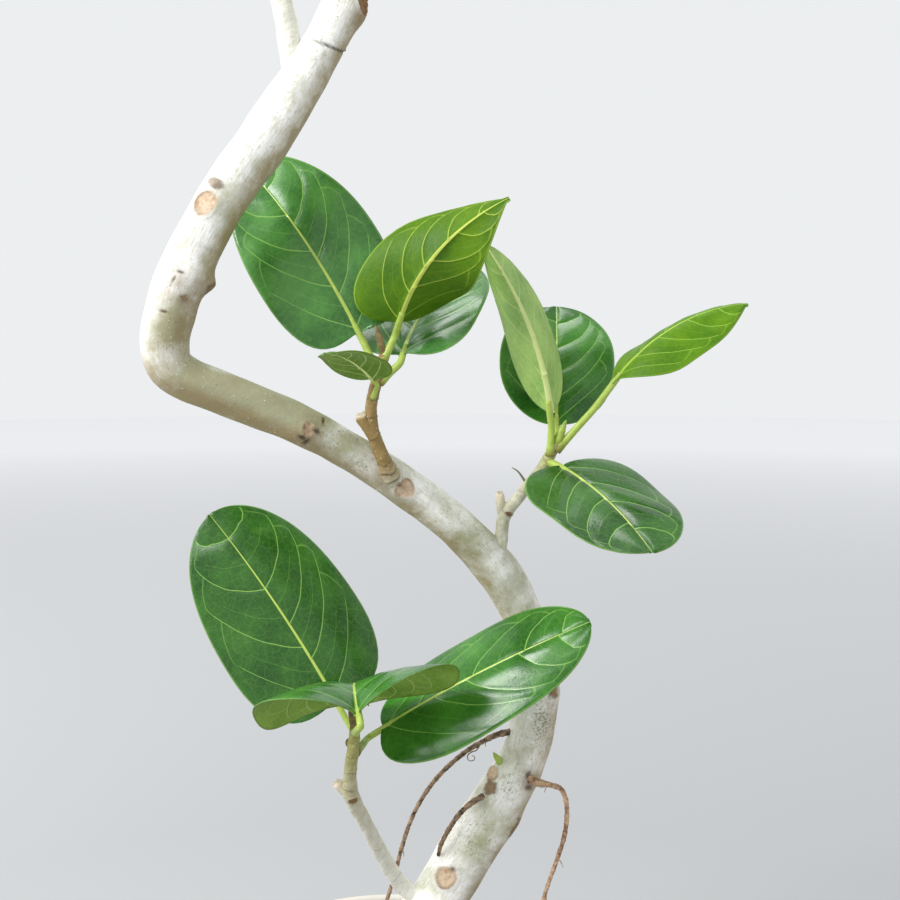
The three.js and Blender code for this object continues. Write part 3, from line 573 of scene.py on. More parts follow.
def outline_share(shape, u):
    """Share of the half width at u, from the base at 0 to the tip at 1."""
    widest, base_taper, tip_taper = shape
    low = 1 - (1 - np.clip(u / widest, 0, 1)) ** 2.6
    high = 1 - np.clip((u - widest) / (1 - widest), 0, 1) ** 2
    return np.maximum(0.07, np.where(u < widest, low ** base_taper, high ** tip_taper))


def blade_points(leaf, u, v):
    """Middle surface, glossy-side normal, midrib direction and distance from the midrib."""
    base, tip = np.array(leaf["base"], float), np.array(leaf["tip"], float)
    chord = tip - base
    axis = unit(chord)
    face = np.array(leaf["face"], float)
    face = unit(face - axis * dot(face, axis))
    right = np.cross(axis, face)
    # The midrib bows away from the straight line between base and tip, most in the middle.
    share_along = u[..., None]
    bow = 4 * share_along * (1 - share_along)
    slope = 4 * (1 - 2 * share_along)
    place = base + chord * share_along + (face * leaf["arch"] + right * leaf["sway"]) * bow
    ahead = unit(chord + (face * leaf["arch"] + right * leaf["sway"]) * slope)
    normal = unit(face - ahead * dot(ahead, face))
    turn = math.radians(leaf["twist"]) * (share_along - 0.3)
    normal = normal * np.cos(turn) + np.cross(ahead, normal) * np.sin(turn)
    across = np.cross(ahead, normal)
    # Each half leaves the midrib at its fold's angle and curls on as part of a circle.
    sign = np.where(v < 0, -1.0, 1.0)
    fold = np.where(v < 0, leaf["fold"][0], leaf["fold"][1])
    curl = np.where(v < 0, leaf["curl"][0], leaf["curl"][1])
    half = leaf["width"] / 2
    share = np.abs(v) * outline_share(leaf["shape"], u)
    out = share * half
    start = np.radians(fold + leaf["cup"] * (1 - u) ** leaf["cup_fade"])
    bend = np.radians(np.where(curl == 0, 1e-3, curl)) / half
    angle = start + bend * out
    level = (np.sin(angle) - np.sin(start)) / bend
    lift = (np.cos(start) - np.cos(angle)) / bend
    lift += leaf["wave"] * v * v * np.sin(2 * math.pi * (1.6 * u + 0.37 * (v >= 0)))
    back = LOBE * np.linalg.norm(chord) * share * (1 - u) ** 6
    place = (place + across * (sign * level)[..., None] + normal * lift[..., None]
             - ahead * back[..., None])
    up = normal * np.cos(angle)[..., None] - across * (sign * np.sin(angle))[..., None]
    return place, up, ahead, out


def vein_run(size):
    """How far along its forward way a side vein is, at a share of the half width."""
    return VEIN_LEAVE * size + (1 - VEIN_LEAVE) * size ** 2


def vein_wobble(start, size, seed):
    """Small bends of a side vein, as shares of the blade's length."""
    wave = np.sin(2 * math.pi * (2.3 * size + 3.1 * start + draw(seed)))
    wave = wave + 0.6 * np.sin(2 * math.pi * (4.7 * size - 4 * start + draw(seed + 9)))
    return VEIN_WOBBLE * wave * 4 * size * (1 - size)


def leaf_rows(starts):
    """Where the grid's rows leave the midrib: on and beside the veins, dense at both ends."""
    middles = [(own[:-1] + own[1:]) / 2 for own in starts]
    needed = np.concatenate([[0, 1], *starts, *middles])
    base = VEIN_KNOTS[1] * np.linspace(0, 1, 16) ** 2.2
    tip = 1 - 0.07 * np.linspace(0, 1, 8) ** 2
    beside = [s + d for own in starts for s in own[1:] for d in ROWS_BESIDE_VEIN]
    rows = list(needed)
    # One row lies just before the lowest veins; below them the rows may lie close together.
    for row in (*base, *tip, 0.0193, *beside):
        gap = ROW_GAP if row > VEIN_KNOTS[1] else 0.00001
        if min(abs(row - other) for other in rows) > gap:
            rows.append(row)
    rows = np.unique(rows)
    filled = [np.linspace(low, high, max(1, math.ceil((high - low) / ROW_STEP)), endpoint=False)
              for low, high in zip(rows, rows[1:])]
    return np.append(np.concatenate(filled), 1.0)


def leaf_grid(leaf, seed):
    """The blade's grid, whose rows follow the side veins, with distances to the veins in mm."""
    length = np.linalg.norm(np.subtract(leaf["tip"], leaf["base"]))
    half = leaf["width"] / 2
    starts = []
    for side, own in enumerate(leaf["veins"]):
        shift = [0.03 * (1 - s) * (draw(seed * 31 + 7 * k + side) - 0.5) * (k > 0)
                 for k, s in enumerate(own)]
        starts.append(np.array(own) + shift)
    r = leaf_rows(starts)

    beside_rib = np.array(COLUMNS_BESIDE_RIB)
    shares = np.linspace(0, 1, COLUMNS_TO_MARGIN + 1)[1:] ** 0.92
    width_here = half * outline_share(leaf["shape"], r)[:, None]
    near = np.minimum(beside_rib[None] * (1 - 0.55 * r[:, None]) / width_here,
                      0.09 * np.arange(1, 5))
    far = near[:, -1:] + (1 - near[:, -1:]) * shares[None]
    magnitude = np.hstack([near, far])
    v = np.hstack([-magnitude[:, ::-1], np.zeros((len(r), 1)), magnitude])
    size = np.abs(v)
    run = vein_run(size)

    ahead = np.interp(r, VEIN_KNOTS, VEIN_AHEAD)[:, None]
    damp = np.minimum(1, np.minimum(r, 1 - r) / 0.05)[:, None]
    u = np.clip(r[:, None] + ahead * run + vein_wobble(r[:, None], size, seed) * damp, 0, 1)
    across_rate = half * outline_share(leaf["shape"], u)
    lateral, minor, phase = (np.full_like(v, 99.0) for _ in range(3))
    for side, own in enumerate(starts):
        mine = (v > 0) == bool(side)
        middles = (own[:-1] + own[1:]) / 2
        for start, target in [(s, lateral) for s in own] + [(m, minor) for m in middles]:
            forward = np.interp(start, VEIN_KNOTS, VEIN_AHEAD)
            there = start + forward * run + vein_wobble(start, size, seed)
            slope = length * forward * (VEIN_LEAVE + 2 * (1 - VEIN_LEAVE) * size)
            gap = np.abs(u - there) * length * across_rate / np.hypot(across_rate, slope)
            target[mine] = np.minimum(target, gap)[mine]
        share = np.interp(r, own, np.arange(len(own)))
        phase[mine] = ((share - np.floor(share))[:, None] + 0 * size)[mine]
    # Each side vein's end arches forward along the margin to meet the next one.
    loop = (size - (LOOP_PLACE - LOOP_DEPTH * phase ** 1.6)) * across_rate
    return u, v, lateral, minor, loop, length


def build_leaf(node, leaf, seed, settings, materials):
    """One leaf: veined blade with a rounded margin, ribbed underside and its stalk."""
    u, v, lateral, minor, loop, length = leaf_grid(leaf, seed)
    rows, columns = u.shape
    size = np.abs(v)
    place, up, ahead, out = blade_points(leaf, u, v)
    half_sheet = settings.thickness / MM / 2
    ridge = np.exp(-(lateral / 0.75) ** 2) * (1 - 0.75 * size)
    hollow = np.exp(-(lateral / 1.6) ** 2) * (1 - 0.8 * size)
    quilt = (1 - np.exp(-(lateral / 6) ** 2)) * (1 - size ** 2) * fade(0, 0.2, size)
    roll = sum(np.sin(2 * math.pi * ((0.7 + 0.5 * k) * u + (0.9 - 0.35 * k) * v + draw(seed + k)))
               for k in range(3)) * 0.28 * fade(0, 0.5, size)
    slim = 1 - 0.55 * u
    groove = np.exp(-(out / (2.4 * slim)) ** 2)
    crest = np.exp(-(out / (0.75 * slim)) ** 2)
    rise = settings.quilting * (0.55 * quilt - 0.35 * hollow) - 0.4 * groove + 0.3 * crest + roll
    rib = RIB_DEPTH * 0.85 * (1 - u) ** 0.8 * np.exp(-(out / (1.9 * slim)) ** 4)
    sink = rib + settings.quilting * 0.55 * ridge - settings.quilting * 0.3 * quilt - roll
    upper = place + up * (half_sheet + rise)[..., None]
    lower = place - up * (half_sheet + sink)[..., None]

    # The margin: one more line of vertices round the sheet, halfway between its two faces.
    around = ([(0, j) for j in range(columns)] + [(i, columns - 1) for i in range(1, rows)]
              + [(rows - 1, j) for j in range(columns - 2, -1, -1)]
              + [(i, 0) for i in range(rows - 2, 0, -1)])
    ii, jj = np.array(around).T
    aside = np.cross(ahead, up)[ii, jj]
    outward = (aside * (jj == columns - 1)[:, None] - aside * (jj == 0)[:, None]
               + ahead[ii, jj] * (ii == rows - 1)[:, None] - ahead[ii, jj] * (ii == 0)[:, None])
    rim = (upper + lower)[ii, jj] / 2 + unit(outward) * half_sheet * 1.1

    count = rows * columns
    vertices = np.vstack([upper.reshape(-1, 3), lower.reshape(-1, 3), rim])
    a = (np.arange(rows - 1)[:, None] * columns + np.arange(columns - 1)[None]).ravel()
    top = np.stack([a, a + 1, a + columns + 1, a + columns], axis=1)
    faces = top.tolist() + (top[:, ::-1] + count).tolist()
    kinds = [0] * len(top) + [1] * len(top)
    edge = ii * columns + jj
    for k in range(len(around)):
        n = (k + 1) % len(around)
        faces.append((2 * count + k, 2 * count + n, int(edge[n]), int(edge[k])))
        faces.append((int(count + edge[k]), int(count + edge[n]), 2 * count + n, 2 * count + k))
        kinds += [0, 1]

    stalk = petiole_rings(leaf)
    stalk_vertices, stalk_faces = closed_tube(stalk, len(vertices))
    stalk_length = with_ends(np.repeat(np.linspace(0, 1, len(stalk))[:, None],
                                       stalk.shape[1], axis=1))

    # Drawn veins thin out towards the margin, where the side veins end in their loops.
    thin = 1 - 0.55 * size
    lateral_drawn = lateral / thin + np.maximum(0, size - LOOP_PLACE) * 40
    minor_drawn = minor / thin + np.maximum(0, size - 0.6) * 5
    loop_drawn = loop + np.sign(loop) * 9 * (fade(0.42, 0.26, u) + fade(0.93, 1, u))
    signed = out * np.sign(v)
    margin = (1 - size) * leaf["width"] / 2 * outline_share(leaf["shape"], u)
    flat = {
        "midrib_side_veins": (signed, lateral_drawn),
        "fine_veins": (minor_drawn, loop_drawn),
        "place_on_blade": (u * length + 300 * seed, margin),
        # The blade's map carries the leaf's lightness, which is partly painted light and shade.
        "share_of_blade": (u, leaf["lightness_and_painted_light"] + 0 * u),
    }
    maps = {}
    for name, (x, y) in flat.items():
        pair = np.stack([x.ravel(), y.ravel()], axis=1)
        rest = np.zeros((len(stalk_vertices), 2))
        if name == "share_of_blade":
            rest[:, 0] = stalk_length
        maps[name] = np.vstack([pair, pair, pair[edge], rest])
    return build_piece(
        f"{node}_veined", np.vstack([vertices, stalk_vertices]), faces + stalk_faces,
        materials, (node,), "leaf_young" if leaf["young"] else "leaf_grown", maps,
        kinds + [2] * len(stalk_faces))


def petiole_rings(leaf):
    """The stalk: it leaves the twig thick, bends into the midrib's line and runs under it."""
    root = np.array(leaf["root"], float)
    u, v = np.array([0.0, PETIOLE_END]), np.array([0.0, 0.0])
    place, up, ahead, _ = blade_points(leaf, u, v)
    sink = -0.45 - RIB_DEPTH * 0.35
    foot, end = place + up * sink
    reach = np.linalg.norm(root - place[0])
    before = foot - ahead[0] * reach * 0.35
    middle = root + (before - root) * 0.55
    girth = PETIOLE_RADIUS * np.array(PETIOLE_GIRTH) * leaf["stalk"]
    route = [(*p, g) for p, g in zip((root, middle, before, foot, end), girth)]
    centre, radius, length, outward, _ = rings_along(route, *STALK_FINENESS)
    swell = 1 + 0.10 * np.exp(-((length - 2) / 3) ** 2)
    ripple = 1 + 0.02 * np.sin(length * 1.7)
    return centre[:, None] + outward * (radius * swell * ripple)[:, None, None]


def crown_leaves():
    """Leaves of the two shoots above the trained trunk, from the lowest to the highest."""
    leaves = {}
    for name, crown in CROWNS.items():
        route = np.array(TWIGS[name]["route"], float)[:, :3]
        for i in range(crown["count"]):
            share = i / (crown["count"] - 1)
            height = crown["top"] - crown["spacing"] * (crown["count"] - i) + 4
            root = np.array([np.interp(height, route[:, 2], route[:, k]) for k in range(3)])
            heading = math.radians(crown["first"] + GOLDEN_ANGLE * i)
            rise = math.radians(between(crown["rise"], share) + 8 * draw(i + crown["top"]))
            out = np.array([math.cos(heading), math.sin(heading), 0])
            up = np.array([0, 0, 1.0])
            steep = rise + CROWN_STALK_RISE
            stalk = out * math.cos(steep) + up * math.sin(steep)
            axis = out * math.cos(rise) + up * math.sin(rise)
            base = root + stalk * between(CROWN_STALK, share)
            length = between(crown["length"], share)
            face = up * math.cos(rise) - out * math.sin(rise)
            lean = (draw(i * 3 + crown["top"]) - 0.5) * 0.5
            face = face + np.array([-out[1], out[0], 0]) * lean
            leaves[f"leaf_{name}_{i + 1}"] = dict(
                root=root, base=base, tip=base + axis * length, face=face,
                width=length * CROWN_LEAF_WIDTH, shape=(0.42, 0.38, 0.55),
                arch=between(CROWN_ARCH, share), fold=(8, 8), curl=(-16, -12), cup=6,
                twist=8 * (draw(i + 5) - 0.5), wave=1.5, young=i == crown["count"] - 1)
    return leaves


# Materials.


def add_node(tree, kind, inputs=None, **settings):
    """Adds a node with its settings; inputs are values or the sockets they come from."""
    made = tree.nodes.new(kind)
    for name, value in settings.items():
        setattr(made, name, value)
    for socket, value in (inputs or {}).items():
        if isinstance(value, bpy.types.NodeSocket):
            tree.links.new(value, made.inputs[socket])
        else:
            made.inputs[socket].default_value = value
    return made


def new_material(name):
    """An empty node material: its tree and the surface shader on its output."""
    material = bpy.data.materials.new(name)
    material.use_nodes = True
    tree = material.node_tree
    tree.nodes.clear()
    shader = add_node(tree, "ShaderNodeBsdfPrincipled")
    add_node(tree, "ShaderNodeOutputMaterial", {"Surface": shader.outputs[0]})
    return material, tree, shader


def read_maps(tree, names):
    """The two numbers that each map of the mesh holds, as sockets."""
    sockets = []
    for name in names:
        read = add_node(tree, "ShaderNodeUVMap", uv_map=name)
        sockets += add_node(tree, "ShaderNodeSeparateXYZ", {0: read.outputs[0]}).outputs[:2]
    return sockets


def leaf_skin(name, dark, light, rib, vein, edge_tint, edge_shown, gloss, net_shown):
    """One side of a leaf: flesh, midrib, side veins, fine net and rim.

    edge_shown and net_shown are how strongly the rim and the net show, and gloss holds the
    lowest and highest roughness, the specular level and the relief in mm.
    """
    smoothest, roughest, specular, relief = gloss
    material, tree, shader = new_material(name)
    signed, lateral, minor, loop, along, margin, share, lightness_and_painted_light = read_maps(
        tree, ("midrib_side_veins", "fine_veins", "place_on_blade", "share_of_blade"))
    place = add_node(tree, "ShaderNodeCombineXYZ", {0: signed, 1: along}).outputs[0]

    # Flesh: cloudy patches about 30 mm wide and a finer grain of about 3 mm.
    cloud = add_node(tree, "ShaderNodeTexNoise", {"Vector": place, "Scale": 1 / 30, "Detail": 2.0})
    grain = add_node(tree, "ShaderNodeTexNoise", {"Vector": place, "Scale": 1 / 3, "Detail": 2.0})
    blend = add_node(tree, "ShaderNodeMix", {0: 0.25, 2: cloud.outputs[0], 3: grain.outputs[0]})
    patch = add_node(tree, "ShaderNodeMapRange", {0: blend.outputs[0], 1: 0.36, 2: 0.64})
    flesh = add_node(tree, "ShaderNodeMix", {0: patch.outputs[0], 6: dark, 7: light},
                     data_type="RGBA").outputs[2]
    # Each leaf has its own lightness, and a lighter leaf is less saturated. This is partly what its
    # age gave it and partly painted light and shade: raised for a leaf that has to look lit or glossy,
    # lowered for one that has to look shaded.
    saturation_with_painted_light = add_node(tree, "ShaderNodeMapRange", {0: lightness_and_painted_light, 1: 1.0, 2: 2.2, 3: 1.04, 4: 0.66})
    colour = add_node(tree, "ShaderNodeHueSaturation", {"Saturation": saturation_with_painted_light.outputs[0],
                                                        "Value": lightness_and_painted_light, "Color": flesh}).outputs[0]

    # Fine net: cells of about 6 mm, and of about 2 mm inside them. Real ones are finer still.
    edges = []
    for cell in (6.0, 2.0):
        edge = add_node(tree, "ShaderNodeTexVoronoi", {"Vector": place, "Scale": 1 / cell},
                        feature="DISTANCE_TO_EDGE")
        edges.append(edge.outputs["Distance"])
    away = add_node(tree, "ShaderNodeMath", {0: signed}, operation="ABSOLUTE").outputs[0]
    from_loop = add_node(tree, "ShaderNodeMath", {0: loop}, operation="ABSOLUTE").outputs[0]
    # Midrib: about 2.3 mm wide at the base and 0.3 mm near the tip.
    width = add_node(tree, "ShaderNodeMapRange", {0: share, 1: 0.0, 2: 0.97, 3: 1.15, 4: 0.15})
    ratio = add_node(tree, "ShaderNodeMath", {0: away, 1: width.outputs[0]}, operation="DIVIDE")
    for distance, low, high, tint, strength in (
            (edges[1], 0.0, 0.12, vein, 0.07 * net_shown),
            (edges[0], 0.0, 0.06, vein, 0.11 * net_shown),
            (minor, 0.05, 0.45, vein, 0.28 * net_shown),
            (from_loop, 0.05, 0.5, vein, 0.32),
            (lateral, 0.12, 0.6, vein, 0.78),
            (margin, 0.2, 1.1, edge_tint, edge_shown),
            (ratio.outputs[0], 0.7, 1.3, rib, 1.0)):
        mask = add_node(tree, "ShaderNodeMapRange",
                        {0: distance, 1: low, 2: high, 3: strength, 4: 0.0},
                        interpolation_type="SMOOTHSTEP")
        colour = add_node(tree, "ShaderNodeMix", {0: mask.outputs[0], 6: colour, 7: tint},
                          data_type="RGBA").outputs[2]
    tree.links.new(colour, shader.inputs["Base Color"])

    # Skin relief: the net's cells stand up like a fine leather.
    cells = add_node(tree, "ShaderNodeMapRange", {0: edges[0], 1: 0.0, 2: 0.25})
    pores = add_node(tree, "ShaderNodeMapRange", {0: edges[1], 1: 0.0, 2: 0.3})
    height = add_node(tree, "ShaderNodeMath", {0: cells.outputs[0], 1: pores.outputs[0]},
                      operation="ADD")
    bump = add_node(tree, "ShaderNodeBump", {"Height": height.outputs[0],
                                             "Distance": relief * MM})
    tree.links.new(bump.outputs[0], shader.inputs["Normal"])
    sheen = add_node(tree, "ShaderNodeMapRange", {0: cloud.outputs[0], 1: 0.3, 2: 0.7,
                                                  3: smoothest, 4: roughest})
    tree.links.new(sheen.outputs[0], shader.inputs["Roughness"])
    shader.inputs["IOR"].default_value = 1.45
    shader.inputs["Specular IOR Level"].default_value = specular
    return material


def stalk_skin():
    """Leaf stalks: smooth yellow-green skin, a little waxy, browner at the foot."""
    material, tree, shader = new_material("Leaf stalk skin, grown smooth")
    read = add_node(tree, "ShaderNodeUVMap", uv_map="share_of_blade")
    share = add_node(tree, "ShaderNodeSeparateXYZ", {0: read.outputs[0]}).outputs[0]
    place = add_node(tree, "ShaderNodeTexCoord").outputs["Object"]
    ramp = add_node(tree, "ShaderNodeMapRange", {0: share, 1: 0.0, 2: 0.16})
    streak = add_node(tree, "ShaderNodeTexNoise", {"Vector": place, "Scale": 1 / (3 * MM),
                                                   "Detail": 3.0})
    green = add_node(tree, "ShaderNodeMix", {0: streak.outputs[0], 6: linear("#8cab3a"),
                                             7: linear("#c0d068")}, data_type="RGBA")
    colour = add_node(tree, "ShaderNodeMix", {0: ramp.outputs[0], 6: linear("#7c7434"),
                                              7: green.outputs[2]}, data_type="RGBA")
    tree.links.new(colour.outputs[2], shader.inputs["Base Color"])
    bump = add_node(tree, "ShaderNodeBump", {"Height": streak.outputs[0], "Distance": 0.15 * MM,
                                             "Strength": 0.4})
    tree.links.new(bump.outputs[0], shader.inputs["Normal"])
    shader.inputs["Roughness"].default_value = 0.42
    shader.inputs["IOR"].default_value = 1.45
    return material


def trunk_bark(settings):
    """Old banyan bark: smooth and pale, with white pores, grey-green film, dark freckles and warm tan;
    the tan and part of the film are painted shade.
    """
    material, tree, shader = new_material("Banyan bark, grown smooth and weathered")
    place = add_node(tree, "ShaderNodeTexCoord").outputs["Object"]
    scar, dark, brown, freckled, tan, film_and_shade, round_it, along = read_maps(
        tree, ("bark_marks", "bark_tints", "bark_weather", "bark_run"))

    # Film of grey-green in patches of about 16 mm, broken up at about 3 mm.
    film = add_node(tree, "ShaderNodeTexNoise", {"Vector": place, "Scale": 1 / (16 * MM),
                                                 "Detail": 7.0, "Roughness": 0.66}).outputs[0]
    grain = add_node(tree, "ShaderNodeTexNoise", {"Vector": place, "Scale": 1 / (2.6 * MM),
                                                  "Detail": 5.0, "Roughness": 0.62}).outputs[0]
    mottle = add_node(tree, "ShaderNodeTexNoise", {"Vector": place, "Scale": 1 / (5 * MM),
                                                   "Detail": 4.0, "Roughness": 0.6}).outputs[0]
    mottle_mask = add_node(tree, "ShaderNodeMapRange", {0: mottle, 1: 0.52, 2: 0.7,
                                                        3: 0.0, 4: 0.4})
    # Streaks about 1.5 mm wide and 9 mm long, drawn out as the stem grew thick.
    stretched = add_node(tree, "ShaderNodeCombineXYZ", {0: round_it, 1: along})
    streak = add_node(tree, "ShaderNodeVectorMath", {0: stretched.outputs[0],
                                                     1: (1 / 1.5, 1 / 9, 1)},
                      operation="MULTIPLY").outputs[0]
    streak = add_node(tree, "ShaderNodeTexNoise", {"Vector": streak, "Scale": 1.0,
                                                   "Detail": 3.0, "Roughness": 0.6}).outputs[0]
    streak_mask = add_node(tree, "ShaderNodeMapRange", {0: streak, 1: 0.5, 2: 0.7,
                                                        3: 0.0, 4: 0.5})
    # The film's map is partly painted shade, on the right side and on the sloping stretch.
    film_and_shade_sum = add_node(tree, "ShaderNodeMath", {0: film, 1: film_and_shade}, operation="ADD")
    film_and_shade_mask = add_node(tree, "ShaderNodeMapRange", {0: film_and_shade_sum.outputs[0], 1: 0.46, 2: 0.92,
                                                      3: 0.0, 4: 0.85})
    grain_mask = add_node(tree, "ShaderNodeMapRange", {0: grain, 1: 0.48, 2: 0.74,
                                                       3: 0.0, 4: 0.3})
    # Tan, mostly painted shade on the underside and the right side, shows where the film's noise is
    # high.
    tan_and_shade_product = add_node(tree, "ShaderNodeMath", {0: tan, 1: film}, operation="MULTIPLY")
    tan_and_shade_mask = add_node(tree, "ShaderNodeMapRange", {0: tan_and_shade_product.outputs[0], 1: 0.08, 2: 0.5,
                                                     3: 0.0, 4: 0.85})

    # Freckles 1 to 2 mm wide, thick where the map says so and rare elsewhere.
    spots = add_node(tree, "ShaderNodeTexNoise", {"Vector": place, "Scale": 1 / (1.5 * MM),
                                                  "Detail": 2.0, "Distortion": 0.4}).outputs[0]
    wanted = add_node(tree, "ShaderNodeMath", {0: freckled, 1: 0.24, 2: spots},
                      operation="MULTIPLY_ADD")
    freckle = add_node(tree, "ShaderNodeMapRange", {0: wanted.outputs[0], 1: 0.66, 2: 0.75,
                                                    3: 0.0, 4: 0.62})

    # White pores up to 1 mm wide, about 2.4 mm apart; the cell's own draw sets each one's size.
    pores = add_node(tree, "ShaderNodeTexVoronoi", {"Vector": place, "Scale": 1 / (2.4 * MM)})
    chance = add_node(tree, "ShaderNodeSeparateXYZ", {0: pores.outputs["Color"]}).outputs[0]
    size = add_node(tree, "ShaderNodeMapRange", {0: chance, 1: 0.35, 2: 1.0, 3: 0.0, 4: 0.2})
    beyond = add_node(tree, "ShaderNodeMath", {0: pores.outputs["Distance"],
                                               1: size.outputs[0]}, operation="SUBTRACT")
    pore = add_node(tree, "ShaderNodeMapRange", {0: beyond.outputs[0], 1: -0.1, 2: 0.06,
                                                 3: 0.7, 4: 0.0})

    # Scars are pinkish, with brown blotches; cracks and pits are nearly black.
    blotch = add_node(tree, "ShaderNodeMapRange", {0: grain, 1: 0.42, 2: 0.7})
    scar_tint = add_node(tree, "ShaderNodeMix", {0: blotch.outputs[0], 6: linear("#d3bda2"),
                                                 7: linear("#b3906c")}, data_type="RGBA")
    brown_tint = add_node(tree, "ShaderNodeMix", {0: blotch.outputs[0], 6: linear("#8c6e49"),
                                                  7: linear("#644a2d")}, data_type="RGBA")
    colour = tuple(settings.pale)
    for mask, tint in (
            (film_and_shade_mask.outputs[0], tuple(settings.film)),
            (mottle_mask.outputs[0], linear("#b9ba98")), (grain_mask.outputs[0], linear("#d6c9a2")),
            (streak_mask.outputs[0], linear("#b5ae84")),
            (tan_and_shade_mask.outputs[0], tuple(settings.tan)), (freckle.outputs[0], linear("#686850")),
            (pore.outputs[0], linear("#fdfcf6")), (scar, scar_tint.outputs[2]),
            (brown, brown_tint.outputs[2]), (dark, linear("#35261b"))):
        colour = add_node(tree, "ShaderNodeMix", {0: mask, 6: colour, 7: tint},
                          data_type="RGBA").outputs[2]
    tree.links.new(colour, shader.inputs["Base Color"])

    rough_bark = add_node(tree, "ShaderNodeMath", {0: grain, 1: streak}, operation="ADD")
    heights = add_node(tree, "ShaderNodeMath", {0: rough_bark.outputs[0], 1: pore.outputs[0]},
                       operation="ADD")
    bump = add_node(tree, "ShaderNodeBump", {"Height": heights.outputs[0], "Distance": 0.4 * MM,
                                             "Strength": 0.7})
    tree.links.new(bump.outputs[0], shader.inputs["Normal"])
    rough = add_node(tree, "ShaderNodeMapRange", {0: film, 1: 0.3, 2: 0.7, 3: 0.5, 4: 0.72})
    tree.links.new(rough.outputs[0], shader.inputs["Roughness"])
    shader.inputs["Specular IOR Level"].default_value = 0.4
    return material


def twig_bark(settings):
    """Young banyan bark: grey-beige at the foot, turning green and smoother to the top."""
    material, tree, shader = new_material("Young banyan bark, grown")
    place = add_node(tree, "ShaderNodeTexCoord").outputs["Object"]
    scar, dark, brown, pale, green, dry = read_maps(
        tree, ("bark_marks", "bark_tints", "bark_weather"))
    film = add_node(tree, "ShaderNodeTexNoise", {"Vector": place, "Scale": 1 / (6 * MM),
                                                 "Detail": 6.0, "Roughness": 0.65}).outputs[0]
    grain = add_node(tree, "ShaderNodeTexNoise", {"Vector": place, "Scale": 1 / (1.4 * MM),
                                                  "Detail": 4.0}).outputs[0]
    patch = add_node(tree, "ShaderNodeMapRange", {0: film, 1: 0.35, 2: 0.65}).outputs[0]
    young = add_node(tree, "ShaderNodeMix", {0: patch, 6: tuple(settings.young_dark),
                                             7: tuple(settings.young)}, data_type="RGBA")
    speck = add_node(tree, "ShaderNodeMapRange", {0: grain, 1: 0.5, 2: 0.72, 3: 0.0, 4: 0.3})
    pores = add_node(tree, "ShaderNodeTexVoronoi", {"Vector": place, "Scale": 1 / (2.6 * MM)})
    pore = add_node(tree, "ShaderNodeMapRange", {0: pores.outputs["Distance"], 1: 0.1, 2: 0.2,
                                                 3: 0.6, 4: 0.0})
    colour = tuple(settings.twig_dark)
    for mask, tint in (
            (patch, tuple(settings.twig)), (pale, linear("#e4e3d8")), (green, young.outputs[2]),
            (brown, linear("#8f7238")),
            (speck.outputs[0], linear("#8a7850")), (pore.outputs[0], linear("#e6e2cc")),
            (dry, linear("#ddd0b8")), (scar, linear("#80603c")), (dark, linear("#4f3a22"))):
        colour = add_node(tree, "ShaderNodeMix", {0: mask, 6: colour, 7: tint},
                          data_type="RGBA").outputs[2]
    tree.links.new(colour, shader.inputs["Base Color"])
    bump = add_node(tree, "ShaderNodeBump", {"Height": grain, "Distance": 0.18 * MM,
                                             "Strength": 0.7})
    tree.links.new(bump.outputs[0], shader.inputs["Normal"])
    shader.inputs["Roughness"].default_value = 0.58
    return material


def plain_skin(name, first, second, size, roughness, relief):
    """A surface of two mingled colours, with patches of the size and a relief in mm."""
    material, tree, shader = new_material(name)
    place = add_node(tree, "ShaderNodeTexCoord").outputs["Object"]
    patch = add_node(tree, "ShaderNodeTexNoise", {"Vector": place, "Scale": 1 / (size * MM),
                                                  "Detail": 5.0, "Roughness": 0.65})
    spread = add_node(tree, "ShaderNodeMapRange", {0: patch.outputs[0], 1: 0.36, 2: 0.64})
    colour = add_node(tree, "ShaderNodeMix", {0: spread.outputs[0], 6: first, 7: second},
                      data_type="RGBA")
    tree.links.new(colour.outputs[2], shader.inputs["Base Color"])
    bump = add_node(tree, "ShaderNodeBump", {"Height": patch.outputs[0], "Distance": relief * MM,
                                             "Strength": 0.8})
    tree.links.new(bump.outputs[0], shader.inputs["Normal"])
    shader.inputs["Roughness"].default_value = roughness
    return material


